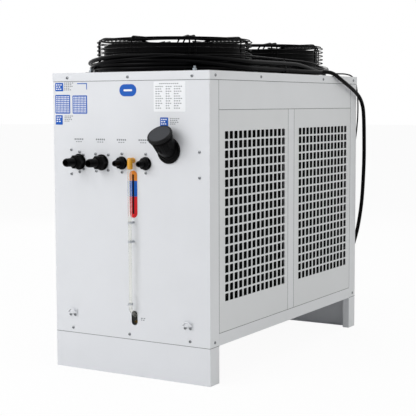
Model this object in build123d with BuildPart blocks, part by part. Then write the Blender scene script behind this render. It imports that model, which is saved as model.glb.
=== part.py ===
from build123d import *
import os
from math import cos, pi, radians, sin, tan

# A recirculating chiller in millimetres: a folded sheet-metal cabinet on two skirts, with two fans on top.
# X runs across the front face, Y from the front to the back and Z up from the floor.
# The origin is on the floor, under the middle of the chiller's length and width, its loose cables left out.

os.makedirs("parts", exist_ok=True)

# Cabinet
cabinet_width = 600.0
cabinet_depth = 1120.0
cabinet_height = 974.0
sheet = 1.5
corner_return = 57.0
seam = 0.8
skirt_height = 119.0
skirt_sheet = 2.0
skirt_lip = 25.0
rail_height = 39.0
lid_rim = 27.0
pan_depth = 12.0
upper_panel_height = 120.0
mullion_share = 0.475
mullion_width = 45.0
frame_sheet = 2.0
frame_leg = 30.0
frame_lap = 8.0

# Grille field, as a pattern of holes from its front lower corner
grille_columns = 14
grille_slots = 6
grille_web = 10.0
grille_slot_web = 7.0
grille_side_margin = 38.0
grille_side_edge = 15.4
grille_foot_margin = 96.0
grille_head_margin = 60.0

# Fans, ducts and guards
fan_front_distance = 278.0
fan_spacing = 558.0
duct_bore = 452.0
duct_outer = 472.0
duct_height = 89.0
guard_radius = 260.0
guard_height = 111.0
guard_wire = 4.0
guard_sides = 24
side_rings = 5
side_ring_pitch = 20.1
top_rings = 4
guard_eye_radius = 118.0
ring_drop = 7.0
double_bar_spacing = 19.0
foot_plate = 3.0
foot_plate_width = 46.0
foot_plate_length = 54.0
bolt_offset = 200.0
bolt_diameter = 8.0
bolt_rise = 17.0
bolt_nut_width = 13.0
bolt_nut_height = 6.5
motor_plate = 3.0
motor_plate_radius = 76.0
motor_plate_height = 88.0
motor_flange_radius = 48.0
motor_flange = 8.0
motor_core_radius = 56.0
motor_core_height = 38.0
motor_neck_radius = 24.0
shaft_diameter = 16.0
shaft_clearance = 0.05
hub_radius = 68.5
hub_wall = 6.0
hub_floor = 12.0
hub_height = 54.0
hub_gap = 4.0
blade_count = 5
blade_thickness = 3.0
blade_tip_gap = 4.0
blade_root_chord = 84.0
blade_tip_chord = 128.0
blade_root_pitch = 34.0
blade_tip_pitch = 19.0
blade_sweep = 24.0

# Hose fittings on the front wall
fitting_height = 686.0
large_fitting_places = (-195.0, -105.0)
small_fitting_places = (-26.0, 65.0)
wall_clearance = 0.4
ridge_depth = 1.5
tail_end_depth = 0.5
large_hose = {
    "flange_radius": 26.0,
    "flange": 10.0,
    "nut_radius": 21.0,
    "nut_foot_radius": 16.8,
    "nut_tip_radius": 20.5,
    "nut_flats": 16.5,
    "nut_length": 30.0,
    "barb_radius": 14.5,
    "barb_length": 34.0,
    "bore_radius": 10.5,
    "spigot_radius": 16.0,
    "spigot": 30.0,
}
small_hose = {
    "flange_radius": 21.0,
    "flange": 8.0,
    "nut_radius": 18.0,
    "nut_foot_radius": 14.4,
    "nut_tip_radius": 12.0,
    "nut_flats": 11.0,
    "nut_length": 20.0,
    "barb_radius": 8.5,
    "barb_length": 16.0,
    "bore_radius": 5.5,
    "spigot_radius": 9.0,
    "spigot": 30.0,
}

# Filling neck and its cap
neck_x = 152.0
neck_height = 729.0
neck_tilt = 39.0
neck_flange_radius = 42.0
neck_flange = 10.0
neck_radius = 31.0
neck_wall = 4.0
neck_bend_distance = 12.0
neck_length = 64.0
neck_rim_radius = 33.0
cap_radius = 40.0
cap_height = 18.0
cap_edge = 4.0
cap_top = 3.0
cap_clearance = 0.4
cap_grips = 16
cap_grip_width = 5.0
cap_grip_depth = 1.2
gasket = 2.0

# Level gauge and drain
gauge_x = 17.0
gauge_stand = 21.0
elbow_radius = 7.5
elbow_arm_radius = 6.5
elbow_top = 702.0
elbow_foot = 667.0
elbow_base_radius = 11.0
elbow_base = 5.0
tube_diameter = 12.0
tube_wall = 1.5
tube_insert = 8.0
tube_bend_height = 218.0
tube_port_height = 192.0
tube_bend_radius = 16.0
clip_heights = (437.5, 498.0)
clip_band = 6.0
clip_sheet = 1.2
slot_width = 24.0
slot_height = 47.0
slot_centre = 190.0
drain_height = 176.0
drain_body_radius = 5.0
drain_body_length = 28.0
drain_spout_radius = 3.0
drain_spout = 12.0
drain_stem_radius = 1.5
drain_handle_length = 15.0
drain_handle_width = 4.0
drain_handle = 3.0

# Small lugs low on the front wall
lug_places = (-228.0, 219.0)
lug_heights = (184.0, 182.0)
lug_width = 34.0
lug_height = 26.0
lug_reach = 9.0

# Machinery inside
condenser_depth = 44.0
condenser_gap = 3.0
condenser_plate = 2.0
condenser_foot = 22.0
tank_gap = 40.0
tank_length = 290.0
tank_clearance = 15.5
tank_share = 0.6147
tank_height = 690.0
tank_wall = 4.0
tank_corner = 25.0
compressor_radius = 92.0
compressor_height = 380.0
compressor_crown = 50.0
compressor_crown_rise = 30.0
compressor_offset = 20.0
compressor_foot = 18.0
compressor_foot_radius = 14.0
compressor_foot_spacing = 180.0
compressor_plate = 3.0
compressor_plate_width = 220.0
compressor_plate_corner = 20.0
pump_x = -60.0
pump_gap = 150.0
pump_axis_height = 90.0
pump_case_radius = 80.0
pump_case = 70.0
pump_motor_radius = 62.0
pump_motor = 200.0
pump_saddle_width = 60.0
pump_saddle_length = 120.0
pump_saddle_start = 20.0
pump_port_radius = 16.0
pump_port = 110.0
exchanger_gap = 50.0
exchanger_offset = 120.0
exchanger_width = 80.0
exchanger_length = 112.0
exchanger_height = 330.0
exchanger_corner = 12.0
port_radius = 12.0
port_reach = 24.0
port_spacing_across = 56.0
port_spacing_up = 250.0
drier_x = 140.0
drier_offset = 160.0
drier_radius = 30.0
drier_body = 120.0
drier_foot = 78.0
drier_pipe_radius = 8.0
drier_height = 260.0
electrical_x = -20.0
electrical_width = 420.0
electrical_depth = 130.0
electrical_height = 250.0
electrical_drop = 74.0

# Rear wall fittings
gland_stand = 23.5
power_gland_radius = 11.5
power_gland_edge = 30.0
power_gland_top = 255.0
signal_gland_radius = 6.5
signal_gland_edge = 35.0
signal_gland_top = 612.0
gland_leg = 26.0
gland_nut_share = 1.3
controller_x = -120.0
controller_drop = 174.0
controller_corner = 6.0
display_lift = 12.0
key_depth = 5.0
controller_width = 140.0
controller_tall = 74.0
controller_depth = 10.0
display_width = 72.0
display_tall = 30.0
display_recess = 2.0
key_count = 4
key_pitch = 26.0
key_width = 16.0
key_tall = 10.0
key_rise = 2.0
key_travel = 1.0
key_clearance = 0.4
switch_x = 80.0
switch_drop = 174.0
switch_corner = 5.0
switch_grip_inset = 2.0
switch_base_width = 60.0
switch_base = 8.0
switch_knob_radius = 20.0
switch_knob = 8.0
switch_grip_width = 11.0
switch_grip = 12.0

# Cables
power_cable = 14.5
signal_cable = 5.5
coil_inner = 263.0
coil_outer = 294.5
coil_edge = 3.0
coil_height = 58.0
coil_clearance = 1.0
bend_share = 0.45

# Places worked out from the sizes above
neck_angle = radians(neck_tilt)
cap_top_distance = neck_length + gasket + cap_top
front_reach = (
    neck_bend_distance
    + (cap_top_distance - cap_edge) * sin(neck_angle)
    + (cap_radius - cap_edge) * cos(neck_angle)
    + cap_edge
    - sheet
)
rear_reach = gland_stand + power_gland_radius - sheet
cabinet_front = -(cabinet_depth + rear_reach - front_reach) / 2
cabinet_back = cabinet_front + cabinet_depth
face_x = cabinet_width / 2 - sheet
front_wall = cabinet_front + sheet
rear_wall = cabinet_back - sheet
floor_top = skirt_height + sheet
lid_under = cabinet_height - sheet
frame_x = face_x - pan_depth
side_start = cabinet_front + corner_return
side_end = cabinet_back - corner_return
grille_top = cabinet_height - upper_panel_height
pan_foot = skirt_height + rail_height
mullion_start = mullion_share * cabinet_depth
grille_span = mullion_start - corner_return - 2 * seam - grille_side_margin - grille_side_edge
grille_pitch = grille_span / grille_columns
grille_slot_pitch = (grille_top - pan_foot - grille_foot_margin - grille_head_margin) / grille_slots
grille_hole_width = grille_pitch - grille_web
grille_slot_height = grille_slot_pitch - grille_slot_web
mullion_front = cabinet_front + mullion_start
mullion_back = mullion_front + mullion_width
condenser_outer = frame_x - frame_sheet - condenser_gap
condenser_inner = condenser_outer - condenser_depth
tank_right = condenser_inner - tank_clearance
tank_left = tank_right - tank_share * 2 * condenser_inner
controller_height = cabinet_height - controller_drop
switch_height = cabinet_height - switch_drop
power_gland_x = cabinet_width / 2 - power_gland_edge
signal_gland_x = cabinet_width / 2 - signal_gland_edge
fan_places = {
    "front": cabinet_front + fan_front_distance,
    "rear": cabinet_front + fan_front_distance + fan_spacing,
}
sides = {"right": 1, "left": -1}


def side_plane(side):
    """The outer plane of a side face: its x runs along side times Y, its y up and its normal outward."""
    return Plane(origin=(side * face_x, 0, 0), x_dir=(0, side, 0), z_dir=(side, 0, 0))


def side_pan(side, y_start, y_end, z_start, z_end):
    """A flat side panel with its four edges folded inward, open to the inside of the cabinet."""
    middle = (side * (y_start + y_end) / 2, (z_start + z_end) / 2)
    width = y_end - y_start
    height = z_end - z_start
    with BuildPart() as pan:
        with BuildSketch(side_plane(side)):
            with Locations(middle):
                Rectangle(width, height)
        extrude(amount=-pan_depth)
        with BuildSketch(side_plane(side).offset(-sheet)):
            with Locations(middle):
                Rectangle(width - 2 * sheet, height - 2 * sheet)
        extrude(amount=-pan_depth, mode=Mode.SUBTRACT)
    return pan


def wall_plane(x, z, distance=0.0):
    """A plane over the front wall, its normal pointing out of the wall."""
    return Plane(origin=(x, front_wall - distance, z), x_dir=(1, 0, 0), z_dir=(0, -1, 0))


def wall_section(x, z):
    """A plane through the axis of a piece on the front wall: its x runs out of the wall, its y down."""
    return Plane(origin=(x, front_wall, z), x_dir=(0, -1, 0), z_dir=(1, 0, 0))


def rear_plane(x, z, distance=0.0):
    """A plane over the rear wall, its normal pointing out of the wall."""
    return Plane(origin=(x, rear_wall + distance, z), x_dir=(-1, 0, 0), z_dir=(0, 1, 0))


# The skirts: folded channels that stand on the floor across the front and the back.
for label, wall_y, inward in (("front_skirt", front_wall, 1), ("rear_skirt", rear_wall, -1)):
    return_y = wall_y + inward * (corner_return - sheet)
    with BuildPart() as skirt:
        with BuildSketch():
            with Locations((0, (wall_y + return_y) / 2)):
                Rectangle(2 * face_x, corner_return - sheet)
                Rectangle(
                    2 * (face_x - skirt_sheet), corner_return - sheet - 2 * skirt_sheet, mode=Mode.SUBTRACT
                )
            with Locations((0, return_y)):
                Rectangle(2 * (face_x - skirt_lip), 3 * skirt_sheet, mode=Mode.SUBTRACT)
        extrude(amount=skirt_height)
        with BuildSketch(Plane.XY, Plane.XY.offset(skirt_height - skirt_sheet)):
            with Locations((0, wall_y + inward * skirt_lip / 2)):
                Rectangle(2 * face_x, skirt_lip)
        extrude(amount=skirt_sheet)
    skirt.part.label = label
    export_step(skirt.part, f"parts/{label}.step")


# The base tray: a floor pan whose side rails show between the corners of the front and rear panels.
with BuildPart() as base_tray:
    with BuildSketch(Plane.XY.offset(skirt_height)):
        with Locations((0, (cabinet_front + cabinet_back) / 2)):
            Rectangle(2 * frame_x, cabinet_depth - 4 * sheet)
            Rectangle(2 * face_x, side_end - side_start - 2 * seam)
    extrude(amount=sheet)
    with BuildSketch(Plane.XY.offset(skirt_height)):
        with Locations((0, (side_start + side_end) / 2)):
            Rectangle(2 * face_x, side_end - side_start - 2 * seam)
            Rectangle(2 * (face_x - sheet), side_end - side_start - 2 * seam, mode=Mode.SUBTRACT)
    extrude(amount=rail_height)
    with BuildSketch(Plane.XY.offset(skirt_height + rail_height - sheet)):
        with Locations((0, (side_start + side_end) / 2)):
            Rectangle(2 * face_x, side_end - side_start - 2 * seam)
            Rectangle(2 * (face_x - pan_depth), side_end - side_start - 2 * seam, mode=Mode.SUBTRACT)
    extrude(amount=sheet)
base_tray.part.label = "base_tray"
export_step(base_tray.part, "parts/base_tray.step")


# The welded frame inside: a ladder of posts and rails behind each side, tied across under the lid.
post_end = corner_return + seam + frame_lap
with BuildPart() as cabinet_frame:
    for side in sides.values():
        with BuildSketch(Plane(origin=(side * frame_x, 0, 0), x_dir=(0, side, 0), z_dir=(side, 0, 0))):
            with Locations((side * (cabinet_front + cabinet_back) / 2, (floor_top + lid_under) / 2)):
                Rectangle(cabinet_depth - 4 * sheet, lid_under - floor_top)
            for start, end in (
                (cabinet_front + post_end, mullion_front - frame_lap),
                (mullion_back + frame_lap, cabinet_back - post_end),
            ):
                for low, high in (
                    (floor_top + rail_height + frame_lap, grille_top - frame_lap),
                    (grille_top + seam + frame_lap, lid_under - frame_leg),
                ):
                    with Locations((side * (start + end) / 2, (low + high) / 2)):
                        Rectangle(end - start, high - low, mode=Mode.SUBTRACT)
        extrude(amount=-frame_sheet)
    for y in (
        cabinet_front + 2 * sheet + frame_sheet / 2,
        (fan_places["front"] + fan_places["rear"]) / 2,
        cabinet_back - 2 * sheet - frame_sheet / 2,
    ):
        with BuildSketch(Plane.XZ.offset(-y - frame_sheet / 2)):
            with Locations((0, lid_under - frame_leg / 2)):
                Rectangle(2 * frame_x, frame_leg)
        extrude(amount=frame_sheet)
cabinet_frame.part.label = "cabinet_frame"
export_step(cabinet_frame.part, "parts/cabinet_frame.step")


# The front and rear panels: each one sheet that wraps both corners.
for label, wall_y, inward in (("front_panel", front_wall, 1), ("rear_panel", rear_wall, -1)):
    return_y = wall_y + inward * (corner_return - sheet)
    with BuildPart() as panel:
        with BuildSketch(Plane.XY.offset(skirt_height)):
            with Locations((0, (wall_y + return_y) / 2)):
                Rectangle(2 * face_x, corner_return - sheet)
                Rectangle(2 * (face_x - sheet), corner_return - 3 * sheet, mode=Mode.SUBTRACT)
            with Locations((0, return_y)):
                Rectangle(2 * (face_x - pan_depth), 3 * sheet, mode=Mode.SUBTRACT)
        extrude(amount=lid_under - skirt_height)
        if inward > 0:
            with BuildSketch(wall_plane(0, 0)):
                for x in large_fitting_places:
                    with Locations((x, fitting_height)):
                        Circle(large_hose["spigot_radius"] + wall_clearance)
                for x in small_fitting_places:
                    with Locations((x, fitting_height)):
                        Circle(small_hose["spigot_radius"] + wall_clearance)
                with Locations((neck_x, neck_height)):
                    Circle(neck_radius + wall_clearance)
                with Locations((gauge_x, elbow_top - elbow_radius)):
                    Circle(elbow_arm_radius + wall_clearance)
                with Locations((gauge_x, slot_centre)):
                    SlotOverall(slot_height, slot_width, rotation=90)
            extrude(amount=-sheet, mode=Mode.SUBTRACT)
    panel.part.label = label
    export_step(panel.part, f"parts/{label}.step")


# The lid: a shallow pan over the panels with the two fan openings.
with BuildPart() as top_cover:
    with BuildSketch(Plane.XY.offset(cabinet_height - lid_rim)):
        with Locations((0, (cabinet_front + cabinet_back) / 2)):
            Rectangle(cabinet_width, cabinet_depth)
            Rectangle(cabinet_width - 2 * sheet, cabinet_depth - 2 * sheet, mode=Mode.SUBTRACT)
    extrude(amount=lid_rim)
    with BuildSketch(Plane.XY.offset(lid_under)):
        with Locations((0, (cabinet_front + cabinet_back) / 2)):
            Rectangle(cabinet_width, cabinet_depth)
        with Locations(*[(0, y) for y in fan_places.values()]):
            Circle(duct_bore / 2, mode=Mode.SUBTRACT)
    extrude(amount=sheet)
top_cover.part.label = "top_cover"
export_step(top_cover.part, "parts/top_cover.step")


# Side sheets: the upper panel, the mullion and two lift-off grilles on each side.
for side_name, side in sides.items():
    upper_panel = side_pan(side, side_start + seam, side_end - seam, grille_top + seam, lid_under)
    upper_panel.part.label = f"upper_panel_{side_name}"
    export_step(upper_panel.part, f"parts/upper_panel_{side_name}.step")

    mullion = side_pan(side, mullion_front, mullion_back, pan_foot, grille_top)
    mullion.part.label = f"mullion_{side_name}"
    export_step(mullion.part, f"parts/mullion_{side_name}.step")

    for place, start, end in (
        ("front", side_start + seam, mullion_front - seam),
        ("rear", mullion_back + seam, side_end - seam),
    ):
        field_width = (grille_columns - 1) * grille_pitch + grille_hole_width
        field_height = (grille_slots - 1) * grille_slot_pitch + grille_slot_height
        field_y = start + grille_side_margin + field_width / 2
        field_z = pan_foot + grille_foot_margin + field_height / 2
        pan = side_pan(side, start, end, pan_foot, grille_top)
        with BuildPart() as grille:
            add(pan.part)
            with BuildSketch(side_plane(side)):
                with Locations((side * field_y, field_z)):
                    with GridLocations(grille_pitch, grille_slot_pitch, grille_columns, grille_slots):
                        Rectangle(grille_hole_width, grille_slot_height)
            extrude(amount=-sheet, mode=Mode.SUBTRACT)
        grille.part.label = f"grille_{side_name}_{place}"
        export_step(grille.part, f"parts/grille_{side_name}_{place}.step")


# Fans: on the lid stand the round ducts; a wire guard over each carries the motor and its bladed hub.
ring_top = guard_height - ring_drop
bar_radius = guard_radius - guard_wire
rotor_top = motor_plate_height - motor_flange - hub_gap
rotor_foot = rotor_top - hub_height


def guard_ring(y, height, outer_apothem):
    """One many-sided ring of guard wire, its section square."""
    with BuildPart() as ring:
        with BuildSketch(Plane.XY.offset(cabinet_height + height)):
            with Locations((0, y)):
                RegularPolygon(outer_apothem, guard_sides, major_radius=False, rotation=180 / guard_sides)
                RegularPolygon(
                    outer_apothem - guard_wire,
                    guard_sides,
                    major_radius=False,
                    rotation=180 / guard_sides,
                    mode=Mode.SUBTRACT,
                )
        extrude(amount=guard_wire)
    return ring.part


def guard_bar(y, angle, shift, points):
    """One bent bar of guard wire: the points are its inner line as distance from the fan axis and height."""
    turned = Plane(origin=(0, y, cabinet_height), x_dir=(1, 0, 0), z_dir=(0, 0, 1)).rotated((0, 0, angle))
    side_face = turned.origin + turned.y_dir * (shift + guard_wire / 2)
    upright = Plane(origin=side_face, x_dir=turned.x_dir, z_dir=-turned.y_dir)
    with BuildPart() as bar:
        with BuildSketch(upright):
            with BuildLine():
                Polyline(*points, close=True)
            make_face()
        extrude(amount=guard_wire)
    return bar.part


long_bar = (
    (bar_radius, foot_plate),
    (bar_radius, guard_height),
    (guard_eye_radius - guard_wire / 2, guard_height),
    (motor_plate_radius, motor_plate_height + motor_plate + guard_wire),
    (motor_plate_radius - 3 * guard_wire, motor_plate_height + motor_plate + guard_wire),
    (motor_plate_radius - 3 * guard_wire, motor_plate_height + motor_plate),
    (motor_plate_radius + guard_wire / 2, motor_plate_height + motor_plate),
    (guard_eye_radius, guard_height - guard_wire),
    (bar_radius - guard_wire, guard_height - guard_wire),
    (bar_radius - guard_wire, foot_plate),
)
short_bar = (
    (bar_radius, ring_top - (side_rings - 1) * side_ring_pitch - guard_wire),
    (bar_radius, guard_height),
    (guard_eye_radius, guard_height),
    (guard_eye_radius, guard_height - guard_wire),
    (bar_radius - guard_wire, guard_height - guard_wire),
    (bar_radius - guard_wire, ring_top - (side_rings - 1) * side_ring_pitch - guard_wire),
)

for place, fan_y in fan_places.items():
    with BuildPart() as duct:
        with BuildSketch(Plane.XY.offset(cabinet_height)):
            with Locations((0, fan_y)):
                Circle(duct_outer / 2)
                Circle(duct_bore / 2, mode=Mode.SUBTRACT)
        extrude(amount=duct_height)
    duct.part.label = f"fan_duct_{place}"
    export_step(duct.part, f"parts/fan_duct_{place}.step")

    rings = []
    for index in range(side_rings):
        rings.append(guard_ring(fan_y, ring_top - index * side_ring_pitch - guard_wire, guard_radius))
    for index in range(top_rings):
        step = (bar_radius - guard_wire - guard_eye_radius - guard_wire) / (top_rings - 1)
        rings.append(
            guard_ring(fan_y, guard_height - 2 * guard_wire, bar_radius - guard_wire - index * step)
        )
    guard_rings = Compound(children=rings, label=f"guard_rings_{place}")
    export_step(guard_rings, f"parts/guard_rings_{place}.step")

    pieces = []
    for angle in (45, 135, 225, 315):
        for shift in (-double_bar_spacing / 2, double_bar_spacing / 2):
            pieces.append(guard_bar(fan_y, angle, shift, long_bar))
        foot_middle = bar_radius - 2 * guard_wire + foot_plate_length / 2
        foot_at = (foot_middle * cos(radians(angle)), fan_y + foot_middle * sin(radians(angle)))
        with BuildPart() as foot:
            with BuildSketch(Plane.XY.offset(cabinet_height)):
                with Locations(Location((*foot_at, 0), (0, 0, angle))):
                    Rectangle(foot_plate_length, foot_plate_width)
            extrude(amount=foot_plate)
        pieces.append(foot.part)
    for angle in (0, 90, 180, 270):
        pieces.append(guard_bar(fan_y, angle, 0, short_bar))
    with BuildPart() as hanger:
        with BuildSketch(Plane.XY.offset(cabinet_height + motor_plate_height)):
            with Locations((0, fan_y)):
                RegularPolygon(motor_plate_radius, 8, rotation=22.5)
        extrude(amount=motor_plate)
    pieces.append(hanger.part)
    guard = Compound(children=pieces, label=f"fan_guard_{place}")
    export_step(guard, f"parts/fan_guard_{place}.step")

    # The motor: a flange under the guard's plate, a neck, the core and the shaft.
    section = Plane(origin=(0, fan_y, cabinet_height), x_dir=(1, 0, 0), z_dir=(0, -1, 0))
    axis = Axis((0, fan_y, cabinet_height), (0, 0, 1))
    core_top = rotor_top - hub_gap
    shaft_end = rotor_foot
    with BuildPart() as motor:
        with BuildSketch(section):
            with BuildLine():
                Polyline(
                    (0, motor_plate_height),
                    (motor_flange_radius, motor_plate_height),
                    (motor_flange_radius, motor_plate_height - motor_flange),
                    (motor_neck_radius, motor_plate_height - motor_flange),
                    (motor_neck_radius, core_top),
                    (motor_core_radius, core_top),
                    (motor_core_radius, core_top - motor_core_height),
                    (shaft_diameter / 2, core_top - motor_core_height),
                    (shaft_diameter / 2, shaft_end),
                    (0, shaft_end),
                    close=True,
                )
            make_face()
        revolve(axis=axis)
    motor.part.label = f"fan_motor_{place}"
    export_step(motor.part, f"parts/fan_motor_{place}.step")

    # The rotor: the outer can of the motor with the blades round it, swept forward and trimmed at the tips.
    blade_middle = cabinet_height + (rotor_top + rotor_foot) / 2
    tip_radius = duct_bore / 2 - blade_tip_gap
    with BuildPart() as blade:
        for share in (0.0, 0.5, 1.0):
            reach = hub_radius - hub_wall / 2 + share * (tip_radius + 4 * blade_tip_gap - hub_radius)
            turn = blade_sweep * share * share
            chord = blade_root_chord + share * (blade_tip_chord - blade_root_chord)
            pitch = blade_root_pitch + share * (blade_tip_pitch - blade_root_pitch)
            outward = Vector(cos(radians(turn)), sin(radians(turn)), 0)
            along = Vector(-sin(radians(turn)), cos(radians(turn)), 0)
            centre = Vector(0, fan_y, blade_middle) + outward * reach
            with BuildSketch(Plane(origin=centre, x_dir=along, z_dir=outward)):
                Rectangle(chord, blade_thickness, rotation=pitch)
        loft(ruled=True)
        with Locations((0, fan_y, blade_middle)):
            Cylinder(tip_radius, 2 * duct_height, mode=Mode.INTERSECT)
    with BuildPart() as rotor:
        with BuildSketch(section):
            with BuildLine():
                Polyline(
                    (shaft_diameter / 2 + shaft_clearance, rotor_foot),
                    (hub_radius, rotor_foot),
                    (hub_radius, rotor_top),
                    (hub_radius - hub_wall, rotor_top),
                    (hub_radius - hub_wall, rotor_foot + hub_floor),
                    (shaft_diameter / 2 + shaft_clearance, rotor_foot + hub_floor),
                    close=True,
                )
            make_face()
        revolve(axis=axis)
        for index in range(blade_count):
            add(blade.part.rotate(axis, index * 360 / blade_count))
    rotor.part.label = f"fan_rotor_{place}"
    export_step(rotor.part, f"parts/fan_rotor_{place}.step")


# The guard bolts: a stud and nut at each foot plate of both guards.
bolts = []
for fan_y in fan_places.values():
    for x, y in ((1, 1), (-1, 1), (-1, -1), (1, -1)):
        with BuildPart() as bolt:
            with BuildSketch(Plane.XY.offset(cabinet_height + foot_plate)):
                with Locations((x * bolt_offset, fan_y + y * bolt_offset)):
                    RegularPolygon(bolt_nut_width / 2, 6, major_radius=False)
            extrude(amount=bolt_nut_height)
            with BuildSketch(Plane.XY.offset(cabinet_height + foot_plate)):
                with Locations((x * bolt_offset, fan_y + y * bolt_offset)):
                    Circle(bolt_diameter / 2)
            extrude(amount=bolt_rise - foot_plate)
        bolts.append(bolt.part)
guard_bolts = Compound(children=bolts, label="guard_bolts")
export_step(guard_bolts, "parts/guard_bolts.step")


# Hose fittings: a wall flange, a hexagon body, a collar and a ridged tail for the hose, bored through.
def hose_fitting(x, flange_radius, flange, nut_radius, nut_foot_radius, nut_tip_radius, nut_flats,
                 nut_length, barb_radius, barb_length, bore_radius, spigot_radius, spigot):
    """One hose fitting with its axis straight out of the front wall."""
    section = wall_section(x, fitting_height)
    barb_start = flange + nut_length
    ridge = barb_length / 3
    with BuildPart() as fitting:
        with BuildSketch(section):
            with BuildLine():
                Polyline(
                    (-spigot, bore_radius),
                    (-spigot, spigot_radius),
                    (0, spigot_radius),
                    (0, flange_radius),
                    (flange, flange_radius),
                    (flange, nut_foot_radius),
                    (barb_start, nut_tip_radius),
                    (barb_start, barb_radius - ridge_depth),
                    (barb_start + ridge, barb_radius),
                    (barb_start + ridge, barb_radius - ridge_depth),
                    (barb_start + 2 * ridge, barb_radius),
                    (barb_start + 2 * ridge, barb_radius - ridge_depth),
                    (barb_start + 3 * ridge, barb_radius - tail_end_depth),
                    (barb_start + 3 * ridge, bore_radius),
                    close=True,
                )
            make_face()
        revolve(axis=Axis(section.origin, section.x_dir))
        with BuildSketch(wall_plane(x, fitting_height, flange)):
            RegularPolygon(nut_radius, 6)
            Circle(bore_radius, mode=Mode.SUBTRACT)
        extrude(amount=nut_flats)
    return fitting


for label, x in zip(("water_outlet_large", "water_inlet_large"), large_fitting_places):
    large_fitting = hose_fitting(x, **large_hose)
    large_fitting.part.label = label
    export_step(large_fitting.part, f"parts/{label}.step")
for label, x in zip(("water_outlet_small", "water_inlet_small"), small_fitting_places):
    small_fitting = hose_fitting(x, **small_hose)
    small_fitting.part.label = label
    export_step(small_fitting.part, f"parts/{label}.step")


# The filling neck: a flange on the wall, a short straight run to the tank and a mouth tilted up.
neck_axis = Vector(0, -sin(neck_angle), cos(neck_angle))
neck_bend = Vector(neck_x, front_wall - neck_bend_distance, neck_height)
mouth_plane = Plane(origin=neck_bend, x_dir=(1, 0, 0), z_dir=neck_axis)
neck_bore = neck_radius - neck_wall
with BuildPart() as fill_neck:
    with BuildSketch(wall_plane(neck_x, neck_height)):
        Circle(neck_flange_radius)
    extrude(amount=neck_flange)
    with Locations(neck_bend):
        Sphere(neck_radius)
    with BuildSketch(mouth_plane):
        Circle(neck_radius)
    extrude(amount=neck_length)
    with BuildSketch(wall_plane(neck_x, neck_height)):
        Circle(2 * neck_radius)
    extrude(amount=-2 * neck_radius, mode=Mode.SUBTRACT)
    with BuildSketch(wall_plane(neck_x, neck_height, -tank_gap)):
        Circle(neck_radius)
    extrude(amount=tank_gap + neck_bend_distance)
    with BuildSketch(mouth_plane.offset(neck_length - 2 * cap_height / 3)):
        Circle(neck_rim_radius)
    extrude(amount=2 * cap_height / 3)
    with BuildSketch(wall_plane(neck_x, neck_height, -tank_gap)):
        Circle(neck_bore)
    extrude(amount=tank_gap + neck_bend_distance, mode=Mode.SUBTRACT)
    with Locations(neck_bend):
        Sphere(neck_bore, mode=Mode.SUBTRACT)
    with BuildSketch(mouth_plane):
        Circle(neck_bore)
    extrude(amount=neck_length, mode=Mode.SUBTRACT)
fill_neck.part.label = "fill_neck"
export_step(fill_neck.part, "parts/fill_neck.step")

with BuildPart() as cap_gasket:
    with BuildSketch(mouth_plane.offset(neck_length)):
        Circle(neck_rim_radius)
        Circle(neck_bore, mode=Mode.SUBTRACT)
    extrude(amount=gasket)
cap_gasket.part.label = "cap_gasket"
export_step(cap_gasket.part, "parts/cap_gasket.step")

with BuildPart() as fill_cap:
    with BuildSketch(mouth_plane.offset(cap_top_distance - cap_height)):
        Circle(cap_radius)
    extrude(amount=cap_height)
    fillet(fill_cap.edges().filter_by(GeomType.CIRCLE).group_by(Axis(neck_bend, neck_axis))[-1], cap_edge)
    with BuildSketch(mouth_plane.offset(cap_top_distance - cap_height)):
        Circle(neck_rim_radius + cap_clearance)
    extrude(amount=cap_height - cap_top, mode=Mode.SUBTRACT)
    with BuildSketch(mouth_plane.offset(cap_top_distance - cap_height)):
        with PolarLocations(cap_radius - cap_grip_depth / 2, cap_grips):
            Rectangle(2 * cap_grip_depth, cap_grip_width)
    extrude(amount=cap_height - 2 * cap_edge, mode=Mode.SUBTRACT)
fill_cap.part.label = "fill_cap"
export_step(fill_cap.part, "parts/fill_cap.step")


# The level gauge: an elbow from the tank, a clear tube down the front and its clips on the wall.
elbow_height = elbow_top - elbow_radius
gauge_line = Plane(origin=(gauge_x, front_wall - gauge_stand, 0), x_dir=(1, 0, 0), z_dir=(0, 0, 1))
with BuildPart() as level_elbow:
    with BuildSketch(wall_plane(gauge_x, elbow_height, -tank_gap)):
        Circle(elbow_arm_radius)
    extrude(amount=tank_gap + gauge_stand)
    with BuildSketch(wall_plane(gauge_x, elbow_height)):
        RegularPolygon(elbow_base_radius, 6)
    extrude(amount=elbow_base)
    with BuildSketch(gauge_line.offset(elbow_foot)):
        Circle(elbow_radius)
    extrude(amount=elbow_top - elbow_foot)
    with BuildSketch(gauge_line.offset(elbow_foot)):
        Circle(tube_diameter / 2)
    extrude(amount=tube_insert, mode=Mode.SUBTRACT)
level_elbow.part.label = "level_elbow"
export_step(level_elbow.part, "parts/level_elbow.step")

with BuildPart() as level_tube:
    with BuildLine():
        FilletPolyline(
            (gauge_x, front_wall - gauge_stand, elbow_foot + tube_insert),
            (gauge_x, front_wall - gauge_stand, tube_bend_height),
            (gauge_x, front_wall + tank_gap / 3, tube_port_height),
            (gauge_x, front_wall + tank_gap, tube_port_height),
            radius=tube_bend_radius,
        )
    with BuildSketch(gauge_line.offset(elbow_foot + tube_insert)):
        Circle(tube_diameter / 2)
        Circle(tube_diameter / 2 - tube_wall, mode=Mode.SUBTRACT)
    sweep()
level_tube.part.label = "level_tube"
export_step(level_tube.part, "parts/level_tube.step")

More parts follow.
